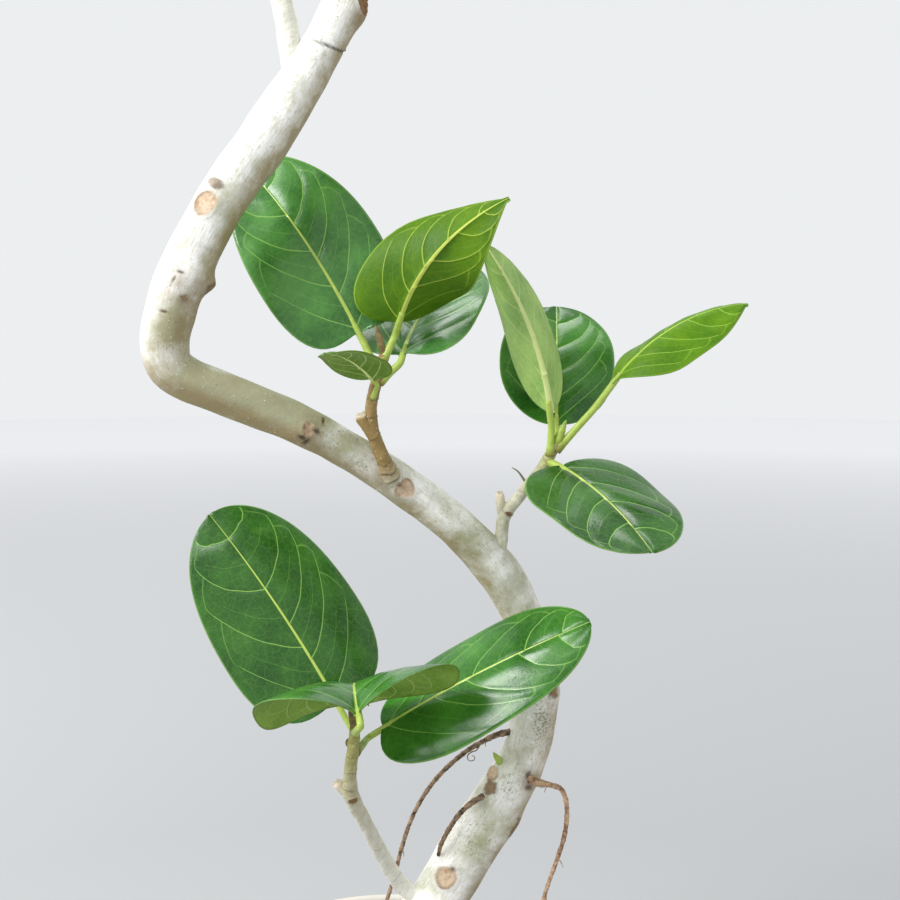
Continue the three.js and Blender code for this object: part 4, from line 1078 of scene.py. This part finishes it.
def stoneware(settings):
    """Unglazed stoneware: matt, with fine grit and faint throwing rings 4 mm apart."""
    material, tree, shader = new_material("Unglazed stoneware, thrown and sponged")
    place = add_node(tree, "ShaderNodeTexCoord").outputs["Object"]
    height = add_node(tree, "ShaderNodeSeparateXYZ", {0: place}).outputs[2]
    cloud = add_node(tree, "ShaderNodeTexNoise", {"Vector": place, "Scale": 1 / (45 * MM),
                                                  "Detail": 5.0})
    grit = add_node(tree, "ShaderNodeTexVoronoi", {"Vector": place, "Scale": 1 / (2.6 * MM)})
    fine = add_node(tree, "ShaderNodeTexNoise", {"Vector": place, "Scale": 1 / (0.9 * MM),
                                                 "Detail": 3.0})
    base = add_node(tree, "ShaderNodeMix", {0: cloud.outputs[0], 6: tuple(settings.clay_dark),
                                            7: tuple(settings.clay)}, data_type="RGBA")
    speck = add_node(tree, "ShaderNodeMapRange", {0: grit.outputs["Distance"], 1: 0.06, 2: 0.12,
                                                  3: 0.45, 4: 0.0})
    colour = add_node(tree, "ShaderNodeMix", {0: speck.outputs[0], 6: base.outputs[2],
                                              7: linear("#8b8478")}, data_type="RGBA")
    tree.links.new(colour.outputs[2], shader.inputs["Base Color"])
    turns = add_node(tree, "ShaderNodeMath", {0: height, 1: 2 * math.pi / (4 * MM)},
                     operation="MULTIPLY")
    ring = add_node(tree, "ShaderNodeMath", {0: turns.outputs[0]}, operation="SINE")
    soft = add_node(tree, "ShaderNodeMath", {0: ring.outputs[0], 1: 0.12}, operation="MULTIPLY")
    total = add_node(tree, "ShaderNodeMath", {0: soft.outputs[0], 1: fine.outputs[0]},
                     operation="ADD")
    bump = add_node(tree, "ShaderNodeBump", {"Height": total.outputs[0], "Distance": 0.25 * MM,
                                             "Strength": 0.5})
    tree.links.new(bump.outputs[0], shader.inputs["Normal"])
    shader.inputs["Roughness"].default_value = 0.72
    shader.inputs["Specular IOR Level"].default_value = 0.35
    return material


def studio_floor(settings):
    """Studio floor, matt painted: pale grey, and painted lighter further off, where the lights fall
    off, so that it fades into the bright surroundings.
    """
    material, tree, shader = new_material("Studio floor, matt painted")
    place = add_node(tree, "ShaderNodeTexCoord").outputs["Object"]
    away = add_node(tree, "ShaderNodeVectorMath", {0: place}, operation="LENGTH").outputs["Value"]
    # Painted light: the floor turns white from 0.8 to 6.4 m out, to make up for the lights' falloff.
    far = add_node(tree, "ShaderNodeMapRange", {0: away, 1: 0.8, 2: 6.4})
    colour = add_node(tree, "ShaderNodeMix", {0: far.outputs[0], 6: tuple(settings.floor),
                                              7: linear("#fbfbfc")}, data_type="RGBA")
    tree.links.new(colour.outputs[2], shader.inputs["Base Color"])
    shader.inputs["Roughness"].default_value = 0.9
    shader.inputs["Specular IOR Level"].default_value = 0.1
    return material


# Settings.


def colour_setting(name, description, hex_colour):
    """A colour property whose default is an sRGB hex colour."""
    return FloatVectorProperty(name=name, description=description, subtype="COLOR", size=4,
                               min=0, max=1, default=linear(hex_colour))


class BANYAN_PG_leaves(bpy.types.PropertyGroup):
    """Sizes and colours of the leaves."""
    thickness: FloatProperty(name="Blade thickness", description="Thickness of the leaf sheet",
                             default=0.6 * MM, min=0.1 * MM, unit="LENGTH")
    quilting: FloatProperty(name="Quilting", description="Swell between the side veins",
                            default=1.0, min=0, max=3)
    upper_dark: colour_setting("Upper side, dark", "Deep patches of grown leaves", "#22561a")
    upper_light: colour_setting("Upper side, light", "Light patches of grown leaves", "#407b2b")
    under_dark: colour_setting("Underside, dark", "Deep patches underneath", "#5f8726")
    under_light: colour_setting("Underside, light", "Light patches underneath", "#86a648")
    young_dark: colour_setting("Young, dark", "Deep patches of young leaves", "#4a7d0a")
    young_light: colour_setting("Young, light", "Light patches of young leaves", "#6b9a12")
    rib: colour_setting("Midrib", "Midrib of the grown leaves", "#b1c65a")
    vein: colour_setting("Side veins", "Side veins of the grown leaves", "#8dbb58")


class BANYAN_PG_bark(bpy.types.PropertyGroup):
    """Colours of the trunk's and the twigs' bark."""
    pale: colour_setting("Pale bark", "Main colour of the trunk", "#f9f8f4")
    # The film colour also paints the shade on the trunk's right side and sloping stretch.
    film: colour_setting("Film", "Grey-green film on the trunk", "#96986c")
    # The tan colour also paints the shade on the trunk's underside and right side.
    tan: colour_setting("Tan", "Warm patches on the trunk", "#9a875e")
    twig: colour_setting("Twig bark, light", "Light patches of the twigs", "#dcdccb")
    twig_dark: colour_setting("Twig bark, dark", "Dark patches of the twigs", "#b5b596")
    young: colour_setting("Young bark, light", "Light patches of the green twigs", "#b0b56c")
    young_dark: colour_setting("Young bark, dark", "Dark patches of the green twigs", "#858f4a")
    sides: IntProperty(name="Trunk sides", description="Faces round the trunk", default=96, min=24)
    step: FloatProperty(name="Trunk step", description="Distance between the trunk's rings",
                        default=1.25 * MM, min=0.5 * MM, unit="LENGTH")


class BANYAN_PG_pot(bpy.types.PropertyGroup):
    """Pot and soil."""
    clay: colour_setting("Clay", "Light patches of the pot", "#dedad1")
    clay_dark: colour_setting("Clay, dark", "Dark patches of the pot", "#c6c1b6")
    sides: IntProperty(name="Pot sides", description="Faces round the pot", default=160, min=48)
    chips: IntProperty(name="Bark chips", description="Chips on the soil", default=420, min=0)


class BANYAN_PG_stage(bpy.types.PropertyGroup):
    """Camera, floor and light."""
    camera: FloatVectorProperty(name="Camera place", description="Where the camera stands",
                                subtype="TRANSLATION", default=(0.043, -0.867, 0.640))
    pitch: FloatProperty(name="Camera pitch", description="How far the camera looks down",
                         default=math.radians(5.27), subtype="ANGLE")
    lens: FloatProperty(name="Lens", description="Focal length on a 36 mm sensor", default=52.0,
                        unit="CAMERA")
    floor: colour_setting("Floor", "Studio floor", "#adafb0")
    key: FloatProperty(name="Key light", description="Power of the large light", default=72.0,
                       unit="POWER")
    sky: FloatProperty(name="Surroundings", description="Strength of the soft light all round",
                       default=0.93)


# Operators.


class BANYAN_OT_trunk(bpy.types.Operator):
    """Builds the trained trunk with its scars, knobs, rings and sawn end"""
    bl_idname = "banyan.trunk"
    bl_label = "Trunk"

    def execute(self, context):
        settings = context.scene.banyan_bark
        centre, radius, length, outward, ahead = rings_along(
            TRUNK, settings.sides, settings.step / MM)
        turn = full_turn(settings.sides)[None]
        run = length[:, None]
        lumps = (0.30 * np.sin(run / 17 + 2 * turn) + 0.22 * np.sin(run / 9 - 3 * turn + 1)
                 + 0.12 * np.sin(run / 4.3 + 5 * turn) + 0.05 * np.sin(run * 1.9 + 9 * turn))
        points = centre[:, None] + outward * (radius[:, None] + lumps)[..., None]
        points, scar, dark, brown = mark_bark(points, outward, ahead, TRUNK_MARKS)
        x, z = points[..., 0], points[..., 2]
        freckled = patch_strength(FRECKLE_PATCHES, x, z)
        film_and_shade = patch_strength(FILM_AND_SHADE_PATCHES, x, z)
        film_and_shade = film_and_shade + 0.16 * np.sin(run / 21 + 2 * turn) * np.sin(run / 8 - turn)
        # Tan, mostly painted shade: on the underside, on the right side, more on the right above 640
        # mm, and along the sloping stretch from 560 to 700 mm. The band from 300 to 440 mm is the
        # bark's own warm colour.
        tan = (1.5 * np.clip(-outward[..., 2] - 0.05, 0, 1)
               + 0.75 * np.clip(outward[..., 0] - 0.4, 0, 1)
               + 0.25 * np.clip(outward[..., 0] - 0.3, 0, 1) * fade(640, 690, z)
               + 0.3 * fade(440, 400, z) * fade(300, 360, z)
               + 0.3 * fade(560, 600, z) * fade(700, 640, z))
        # The film is also painted shade on the right side above 640 mm; from 690 to 740 mm upwards it
        # thins out.
        film_and_shade = (film_and_shade + 0.12 * np.clip(outward[..., 0], 0, 1) * fade(640, 690, z)
                  - 0.12 * fade(690, 740, z))
        # Distances round the stem run up and down again, so that they meet without a step.
        round_it = np.abs(np.mod(turn + 0.8, 2 * math.pi) - math.pi) * radius[:, None]
        vertices, faces = closed_tube(points)
        maps = {"bark_marks": map_pair(scar, dark), "bark_tints": map_pair(brown, freckled),
                "bark_weather": map_pair(tan, film_and_shade),
                "bark_run": map_pair(round_it, run + 0 * turn)}
        bark = trunk_bark(settings)
        # Sawn wood: dry, brown and dull, rough to the eye.
        sawn = plain_skin("Banyan wood, sawn and weathered", linear("#6d4a2c"),
                          linear("#a07a4e"), size=2.2, roughness=0.8, relief=0.6)
        piece = build_piece("trunk_barked", vertices, faces, [bark, sawn], ("trunk",),
                            "trunk_bark", maps)
        saw_trunk(piece)
        return {"FINISHED"}


def saw_trunk(piece):
    """Saws the leader off and closes the cut with a rounded bark edge and hollowed wood."""
    work = bmesh.new()
    work.from_mesh(piece.data)
    facing = Vector(TRUNK_CUT_FACING).normalized()
    cut = bmesh.ops.bisect_plane(
        work, geom=work.verts[:] + work.edges[:] + work.faces[:], dist=1e-7,
        plane_co=Vector(TRUNK_CUT_POINT) * MM, plane_no=facing, clear_outer=True)
    rim = [e for e in cut["geom_cut"] if isinstance(e, bmesh.types.BMEdge)]
    face = bmesh.ops.contextual_create(work, geom=rim)["faces"][0]
    face.material_index = 1
    if face.normal.dot(facing) < 0:
        face.normal_flip()
    for kept, rise in SAWN_STEPS:
        face = bmesh.ops.extrude_discrete_faces(work, faces=[face])["faces"][0]
        middle = face.calc_center_median()
        for vertex in face.verts:
            vertex.co = middle + (vertex.co - middle) * kept + facing * rise * MM
    for vertex in {v for f in work.faces if f.material_index == 1 for v in f.verts}:
        place = vertex.co / MM
        vertex.co += facing * MM * 0.35 * math.sin(place.y * 1.1 + place.z * 0.7)
    work.to_mesh(piece.data)
    work.free()
    piece.data.shade_smooth()


class BANYAN_OT_twigs(bpy.types.Operator):
    """Builds the leafy twigs and crown shoots with their ringed nodes and dry stubs"""
    bl_idname = "banyan.twigs"
    bl_label = "Twigs and shoots"

    def execute(self, context):
        bark = twig_bark(context.scene.banyan_bark)
        for node, own in TWIGS.items():
            twig = {**PLAIN_TWIG, **own}
            parts, faces, maps, start = [], [], {}, 0
            for number, route in enumerate((twig["route"], *twig["stubs"])):
                centre, radius, length, outward, ahead = rings_along(route, *TWIG_FINENESS)
                share = (length / length[-1])[:, None] + 0 * outward[..., 0]
                turn = np.arctan2(outward[..., 0], outward[..., 1])
                lumps = 0.12 * np.sin(length[:, None] / 2.6 + 3 * turn) + 0.06 * np.sin(
                    length[:, None] * 1.3 + 5 * turn)
                girth = radius[:, None] * (1 + lumps * 0.25)
                points = centre[:, None] + outward * girth[..., None]
                nothing = 0 * share
                if number:
                    # A dry stub ends in torn wood, paler than its bark; a tendril is dark.
                    ragged = fade(0.7, 1, share) * 0.7 * np.sin(3 * turn + centre[0, 2])
                    blunt = 1 - 0.3 * fade(0.88, 1, share)
                    points = (centre[:, None] + (points - centre[:, None]) * blunt[..., None]
                              + ahead[:, None] * ragged[..., None])
                    tendril = radius[0] < 1.5
                    scar, green, pale = nothing, nothing, nothing
                    brown = twig["brown"] + nothing
                    dark = 0.75 + nothing if tendril else 0.35 * fade(0.96, 1, share)
                    dry = nothing if tendril else fade(twig["pale_stub"], 1, share)
                else:
                    points, scar, dark, brown = mark_bark(points, outward, ahead, twig["marks"])
                    pale = fade(twig["pale_foot"], 0, share)
                    brown = np.maximum(brown, twig["brown"] * fade(0.05, 0.3, share) * (1 - pale))
                    green, dry = fade(*twig["green"], share), nothing
                vertices, own_faces = closed_tube(points, start)
                start += len(vertices)
                parts.append(vertices)
                faces += own_faces
                for name, pair in (("bark_marks", (scar, dark)), ("bark_tints", (brown, pale)),
                                   ("bark_weather", (green, dry))):
                    maps.setdefault(name, []).append(map_pair(*pair))
            build_piece(f"{node}_barked", np.vstack(parts), faces, [bark], (node,), "twig_bark",
                        {name: np.vstack(values) for name, values in maps.items()})
        return {"FINISHED"}


class BANYAN_OT_buds(bpy.types.Operator):
    """Builds the pointed bud sheath on each twig's end"""
    bl_idname = "banyan.buds"
    bl_label = "Buds"

    def execute(self, context):
        # Bud sheath: smooth and waxy, yellow-green; two have dried up and turned brown.
        fresh = plain_skin("Bud sheath, grown waxy", linear("#86a436"), linear("#b4c65a"),
                           size=5, roughness=0.4, relief=0.15)
        dried = plain_skin("Bud sheath, dried", linear("#5d4a2a"), linear("#8d7a48"),
                           size=3, roughness=0.7, relief=0.3)
        for node, bud in BUDS.items():
            foot, tip = np.array(bud["foot"], float), np.array(bud["tip"], float)
            route = [(*between((foot, tip), s), bud["radius"] * g) for s, g in BUD_GIRTH]
            centre, radius, length, outward, _ = rings_along(route, *BUD_FINENESS)
            turn = full_turn(BUD_FINENESS[0])[None]
            seam = 0.12 * np.exp(-((np.mod(turn + length[:, None] * 0.22, 2 * math.pi)
                                    - math.pi) / 0.35) ** 2)
            points = centre[:, None] + outward * (radius[:, None] * (1 + seam))[..., None]
            vertices, faces = closed_tube(points)
            build_piece(f"{node}_sheath", vertices, faces, [dried if bud["dry"] else fresh],
                        [] if node == "bud_on_trunk" else [node], "bud_sheath")
        return {"FINISHED"}


class BANYAN_OT_leaves(bpy.types.Operator):
    """Builds every leaf with its veins, rounded margin, ribbed underside and stalk"""
    bl_idname = "banyan.leaves"
    bl_label = "Leaves"

    def execute(self, context):
        settings = context.scene.banyan_leaves
        # A grown leaf's upper skin is waxy, so that it shows soft highlights, and its underside
        # is matt and paler. A young leaf is brighter and less glossy.
        stalk = stalk_skin()
        grown = [
            leaf_skin("Banyan leaf, grown with a waxy upper skin", tuple(settings.upper_dark),
                      tuple(settings.upper_light), tuple(settings.rib), tuple(settings.vein),
                      tuple(settings.vein), edge_shown=0.4, gloss=WAXY_SKIN, net_shown=0.8),
            leaf_skin("Banyan leaf, grown with a matt underside", tuple(settings.under_dark),
                      tuple(settings.under_light), linear("#d2df92"), linear("#bfd488"),
                      linear("#5f6b2c"), edge_shown=0.5, gloss=MATT_SKIN, net_shown=1.1),
            stalk]
        young = [
            leaf_skin("Young banyan leaf, waxy upper skin", tuple(settings.young_dark),
                      tuple(settings.young_light), linear("#a6c74a"), linear("#93bb42"),
                      linear("#8fb33c"), edge_shown=0.4, gloss=TENDER_SKIN, net_shown=0.6),
            leaf_skin("Young banyan leaf, smooth underside", tuple(settings.young_dark),
                      tuple(settings.young_light), linear("#bfcb5e"), linear("#a9bf4a"),
                      linear("#8fae3c"), edge_shown=0.75, gloss=TENDER_UNDERSIDE, net_shown=0.4),
            stalk]
        for seed, (node, own) in enumerate({**LEAVES, **crown_leaves()}.items()):
            leaf = {**PLAIN_LEAF, **own}
            build_leaf(node, leaf, seed, settings, young if leaf["young"] else grown)
        return {"FINISHED"}


class BANYAN_OT_air_roots(bpy.types.Operator):
    """Builds the hanging air roots with their wrinkled skin and rootlets"""
    bl_idname = "banyan.air_roots"
    bl_label = "Air roots"

    def execute(self, context):
        # Air root skin: dry and corky; the old roots are dark, the one in front is redder.
        dark = plain_skin("Old air root skin, dried", linear("#3a2a20"), linear("#a98e72"),
                          size=3.6, roughness=0.85, relief=0.5)
        red = plain_skin("Young air root skin, dried and flaking", linear("#6d4c36"),
                         linear("#d0ae8c"), size=4.5, roughness=0.8, relief=0.5)
        for seed, (node, route) in enumerate(ROOTS.items()):
            # Short rootlets hang from every second bend, besides those given one by one.
            routes = [route, *ROOTLETS.get(node, ())]
            bends = np.array(route, float)
            for k in range(2, len(route) - 2, 2):
                away = np.array([math.cos(4 * k + seed), math.sin(4 * k + seed), -0.9])
                at = bends[k, :3]
                routes.append([(*at, 0.5), (*(at + away * 2.4), 0.4),
                               (*(at + away * (3.8, 3.8, 6.5)), 0.2)])
            parts, faces, start = [], [], 0
            for number, own in enumerate(routes):
                fineness = ROOTLET_FINENESS if number else ROOT_FINENESS
                centre, radius, length, outward, _ = rings_along(own, *fineness)
                turn = np.arctan2(outward[..., 0], outward[..., 2])
                run = length[:, None]
                rough = 0.10 * np.sin(3 * turn + run * 0.11 + seed) + 0.12 * np.sin(
                    run * 0.83 + seed) * np.sin(run * 0.31) + 0.07 * np.sin(run * 2.3 - 2 * turn)
                collar = 0.5 * np.exp(-((run - 2) / 3) ** 2) * (number == 0)
                girth = radius[:, None] * (1 + rough + collar)
                points = centre[:, None] + outward * girth[..., None]
                vertices, own_faces = closed_tube(points, start)
                start += len(vertices)
                parts.append(vertices)
                faces += own_faces
            build_piece(f"{node}_wrinkled", np.vstack(parts), faces,
                        [red if node == "air_root_right" else dark], (node,), "air_root")
        return {"FINISHED"}


class BANYAN_OT_pot(bpy.types.Operator):
    """Turns the pot with its rounded lip, and cuts its drain holes and grooves"""
    bl_idname = "banyan.pot"
    bl_label = "Pot"

    def execute(self, context):
        settings = context.scene.banyan_pot
        # The profile runs from the foot's core up the wall, over the lip and down inside.
        lip, rim, foot = POT_HEIGHT, POT_TOP_RADIUS, POT_FOOT_RADIUS
        inner = foot + (rim - foot) * (POT_FLOOR / lip) - POT_WALL
        lip_radius = POT_WALL / 2
        lip_round = [(rim - lip_radius + math.cos(t) * lip_radius,
                      lip - lip_radius + math.sin(t) * lip_radius)
                     for t in np.linspace(0, math.pi, 9)]
        wall = [(foot + (rim - 1 - foot) * s, 3 + (lip - 25) * s) for s in np.linspace(0, 1, 34)]
        inside = [(inner + 4 + (rim - POT_WALL - inner - 4) * s,
                   POT_FLOOR + 6 + (lip - POT_FLOOR - 11) * s) for s in np.linspace(0.96, 0, 12)]
        profile = [(POT_CORE, 0), (foot - 3, 0), (foot - 1, 0.7), *wall, (rim - 0.4, lip - 12),
                   *lip_round, *inside, (inner + 1, POT_FLOOR + 1.5), (inner - 4, POT_FLOOR),
                   (POT_CORE, POT_FLOOR)]
        profile = np.array(profile)
        swell = 0.16 * np.sin(profile[:, 1] * 0.35) * (profile[:, 0] > foot)
        profile[:, 0] = np.minimum(profile[:, 0] + swell * (profile[:, 1] < lip - 20), rim)
        angle = full_turn(settings.sides)[None]
        ring = np.stack([profile[:, :1] * np.cos(angle), profile[:, :1] * np.sin(angle),
                         profile[:, 1:] + 0 * angle], axis=2)
        vertices, faces = closed_tube(ring)
        piece = build_piece("pot_thrown", vertices, faces, [stoneware(settings)], ("pot",),
                            "pot_ceramic")
        cut_drains(piece)
        return {"FINISHED"}


def cut_drains(piece):
    """Drills the drain holes through the pot's floor and cuts a groove out from each."""
    turns = [Matrix.Rotation((i + 0.5) * 2 * math.pi / DRAIN_COUNT, 4, "Z")
             for i in range(DRAIN_COUNT)]
    cutter = bmesh.new()
    for turn in turns:
        bmesh.ops.create_cone(
            cutter, cap_ends=True, segments=32, radius1=DRAIN_RADIUS * MM,
            radius2=DRAIN_RADIUS * MM, depth=3 * POT_FLOOR * MM,
            matrix=turn @ Matrix.Translation((DRAIN_CIRCLE * MM, 0, POT_FLOOR / 2 * MM)))
    holes = bpy.data.meshes.new("drain_holes")
    cutter.to_mesh(holes)
    cutter.clear()
    size = Matrix.Diagonal((POT_FOOT_RADIUS * MM, GROOVE_WIDTH * MM, 2 * GROOVE_DEPTH * MM, 1))
    middle = Matrix.Translation(((DRAIN_CIRCLE + POT_FOOT_RADIUS / 2) * MM, 0, 0))
    for turn in turns:
        bmesh.ops.create_cube(cutter, size=1, matrix=turn @ middle @ size)
    grooves = bpy.data.meshes.new("drain_grooves")
    cutter.to_mesh(grooves)
    cutter.free()
    for mesh in (holes, grooves):
        tool = bpy.data.objects.new(mesh.name, mesh)
        bpy.context.scene.collection.objects.link(tool)
        cut = piece.modifiers.new(mesh.name, "BOOLEAN")
        cut.operation = "DIFFERENCE"
        cut.solver = "EXACT"
        cut.object = tool
        bpy.context.view_layer.update()
        shaped = bpy.data.meshes.new_from_object(
            piece.evaluated_get(bpy.context.evaluated_depsgraph_get()))
        piece.modifiers.clear()
        piece.data = shaped
        bpy.data.objects.remove(tool)
    piece.data.set_sharp_from_angle(angle=math.radians(40))


class BANYAN_OT_soil(bpy.types.Operator):
    """Fills the pot with crumbly soil and strews bark chips on it"""
    bl_idname = "banyan.soil"
    bl_label = "Soil"

    def execute(self, context):
        slope = (POT_TOP_RADIUS - POT_FOOT_RADIUS) / POT_HEIGHT
        high = POT_FOOT_RADIUS + slope * SOIL_LEVEL - POT_WALL - SOIL_GAP
        low = POT_FOOT_RADIUS + slope * POT_FLOOR - POT_WALL - 5
        angle = full_turn(SOIL_SIDES)[None]
        inwards = high * np.linspace(1, 0.02, SOIL_RINGS)[1:]
        radii = np.concatenate([[low, high], inwards])[:, None]
        x, y = radii * np.cos(angle), radii * np.sin(angle)
        top = SOIL_LEVEL + SOIL_MOUND * np.clip(1 - radii / high, 0, 1) ** 1.4 + 0 * x
        crumb = np.sin(x * 0.19 + 1.3) * np.cos(y * 0.23) + np.sin((x - y) * 0.37)
        rough = (np.sin(x * 1.1 + 2 * np.sin(y * 0.9)) * np.sin(y * 1.3 + 1.7 * np.sin(x * 0.7))
                 + 0.6 * np.sin(x * 2.3 - y * 1.9) * np.sin(y * 2.9 + x * 1.7))
        top = top + SOIL_CRUMB * crumb + 0.9 * rough
        top[0], top[1] = POT_FLOOR + 0.3, SOIL_LEVEL - 2
        vertices, faces = closed_tube(np.stack([x, y, top], axis=2))
        # Damp soil is dark and dull with crumbs; the chips in it are browner and drier.
        soil = plain_skin("Potting soil, loose", linear("#1d140e"), linear("#463223"),
                          size=2.4, roughness=0.95, relief=1.2)
        chip_bark = plain_skin("Pine bark chips, shredded", linear("#3b291b"),
                               linear("#6f5239"), size=3.0, roughness=0.9, relief=0.6)
        parts, chips, start = [vertices], [], len(vertices)
        for i in range(context.scene.banyan_pot.chips):
            away = high * 0.97 * math.sqrt(draw(i * 3.7))
            heading = 2 * math.pi * draw(i * 5.3 + 1)
            at = np.array([away * math.cos(heading), away * math.sin(heading), 0])
            if np.hypot(at[0] - TRUNK_AT_SOIL[0], at[1] - TRUNK_AT_SOIL[1]) < TRUNK_CLEARANCE:
                continue
            level = SOIL_LEVEL + SOIL_MOUND * (1 - away / high) ** 1.4
            at[2] = level + 0.6
            parts.append(chip_corners(i) + at)
            chips += [tuple(start + k for k in reversed(range(CHIP_SIDES))),
                      tuple(start + CHIP_SIDES + k for k in range(CHIP_SIDES))]
            for k in range(CHIP_SIDES):
                n = (k + 1) % CHIP_SIDES
                chips.append((start + k, start + n, start + CHIP_SIDES + n,
                              start + CHIP_SIDES + k))
            start += 2 * CHIP_SIDES
        piece = build_piece("soil_crumbled", np.vstack(parts), faces + chips, [soil, chip_bark],
                            ("soil",), "soil", kinds=[0] * len(faces) + [1] * len(chips))
        piece.data.set_sharp_from_angle(angle=math.radians(50))
        return {"FINISHED"}


def chip_corners(i):
    """The corners of one bark chip: a tilted, ragged slab, narrower on top."""
    size = 1.2 + 3.2 * draw(i * 7.9 + 2) ** 2
    shape = np.array([size * 1.5, size, size * 0.5])
    corners = []
    for k in range(CHIP_SIDES):
        spin = 2 * math.pi * k / CHIP_SIDES
        reach = 0.75 + 0.5 * draw(i * 11.3 + k)
        corners.append((math.cos(spin) * reach, math.sin(spin) * reach, -0.6))
    lower = np.array(corners)
    upper = lower * (0.72, 0.72, -1)
    tilt = (Matrix.Rotation(0.7 * (draw(i + 0.3) - 0.5), 3, "X")
            @ Matrix.Rotation(2 * math.pi * draw(i + 0.6), 3, "Z"))
    return np.vstack([lower, upper]) * shape @ np.array(tilt)


class BANYAN_OT_stage(bpy.types.Operator):
    """Sets the camera, a plain pale floor and soft studio light"""
    bl_idname = "banyan.stage"
    bl_label = "Stage"

    def execute(self, context):
        settings = context.scene.banyan_stage
        scene = context.scene
        camera_data = bpy.data.cameras.new("camera")
        camera_data.lens = settings.lens
        camera_data.sensor_width = SENSOR_WIDTH
        camera_data.clip_start = 0.05
        camera = bpy.data.objects.new("camera", camera_data)
        camera.location = settings.camera
        camera.rotation_euler = (math.radians(90) - settings.pitch, 0, 0)
        scene.collection.objects.link(camera)
        scene.camera = camera

        paint = studio_floor(settings)
        angle = full_turn(FLOOR_SIDES)
        disc = np.stack([np.cos(angle), np.sin(angle), 0 * angle], axis=1) * FLOOR_RADIUS
        floor = build_piece("floor", disc, [tuple(range(FLOOR_SIDES))], [paint])

        for name, place, size, share, aim in LIGHTS:
            light_data = bpy.data.lights.new(name, "AREA")
            light_data.energy = settings.key * share
            light_data.size = size
            light = bpy.data.objects.new(name, light_data)
            light.location = place
            light.rotation_euler = (Vector(aim) - Vector(place)).to_track_quat("-Z", "Y").to_euler()
            scene.collection.objects.link(light)
        world = bpy.data.worlds.new("soft_surroundings")
        world.use_nodes = True
        background = world.node_tree.nodes["Background"]
        background.inputs[0].default_value = linear("#f4f6f8")
        background.inputs[1].default_value = settings.sky
        scene.world = world
        scene.view_settings.view_transform = "Standard"
        return {"FINISHED"}


class BANYAN_PT_panel(bpy.types.Panel):
    """Steps and settings of the potted banyan"""
    bl_idname = "BANYAN_PT_panel"
    bl_label = "Potted banyan"
    bl_space_type = "VIEW_3D"
    bl_region_type = "UI"
    bl_category = "Banyan"

    def draw(self, context):
        for operator in OPERATORS:
            self.layout.operator(operator.bl_idname)
        for name in SETTINGS:
            box = self.layout.box()
            group = getattr(context.scene, name)
            for prop in group.bl_rna.properties:
                if prop.identifier not in ("rna_type", "name"):
                    box.prop(group, prop.identifier)


SETTINGS = {"banyan_leaves": BANYAN_PG_leaves, "banyan_bark": BANYAN_PG_bark,
            "banyan_pot": BANYAN_PG_pot, "banyan_stage": BANYAN_PG_stage}
OPERATORS = (BANYAN_OT_trunk, BANYAN_OT_twigs, BANYAN_OT_buds, BANYAN_OT_leaves,
             BANYAN_OT_air_roots, BANYAN_OT_pot, BANYAN_OT_soil, BANYAN_OT_stage)


def register():
    """Registers the settings, operators and panel."""
    for made in (*SETTINGS.values(), *OPERATORS, BANYAN_PT_panel):
        bpy.utils.register_class(made)
    for name, group in SETTINGS.items():
        setattr(bpy.types.Scene, name, PointerProperty(type=group))


def unregister():
    """Takes the panel, operators and settings away again."""
    for name in SETTINGS:
        delattr(bpy.types.Scene, name)
    for made in (BANYAN_PT_panel, *OPERATORS, *SETTINGS.values()):
        bpy.utils.unregister_class(made)


def main():
    """Builds the plant and the stage."""
    register()
    bpy.ops.banyan.trunk()
    bpy.ops.banyan.twigs()
    bpy.ops.banyan.buds()
    bpy.ops.banyan.leaves()
    bpy.ops.banyan.air_roots()
    bpy.ops.banyan.pot()
    bpy.ops.banyan.soil()
    bpy.ops.banyan.stage()


if __name__ == "__main__":
    main()
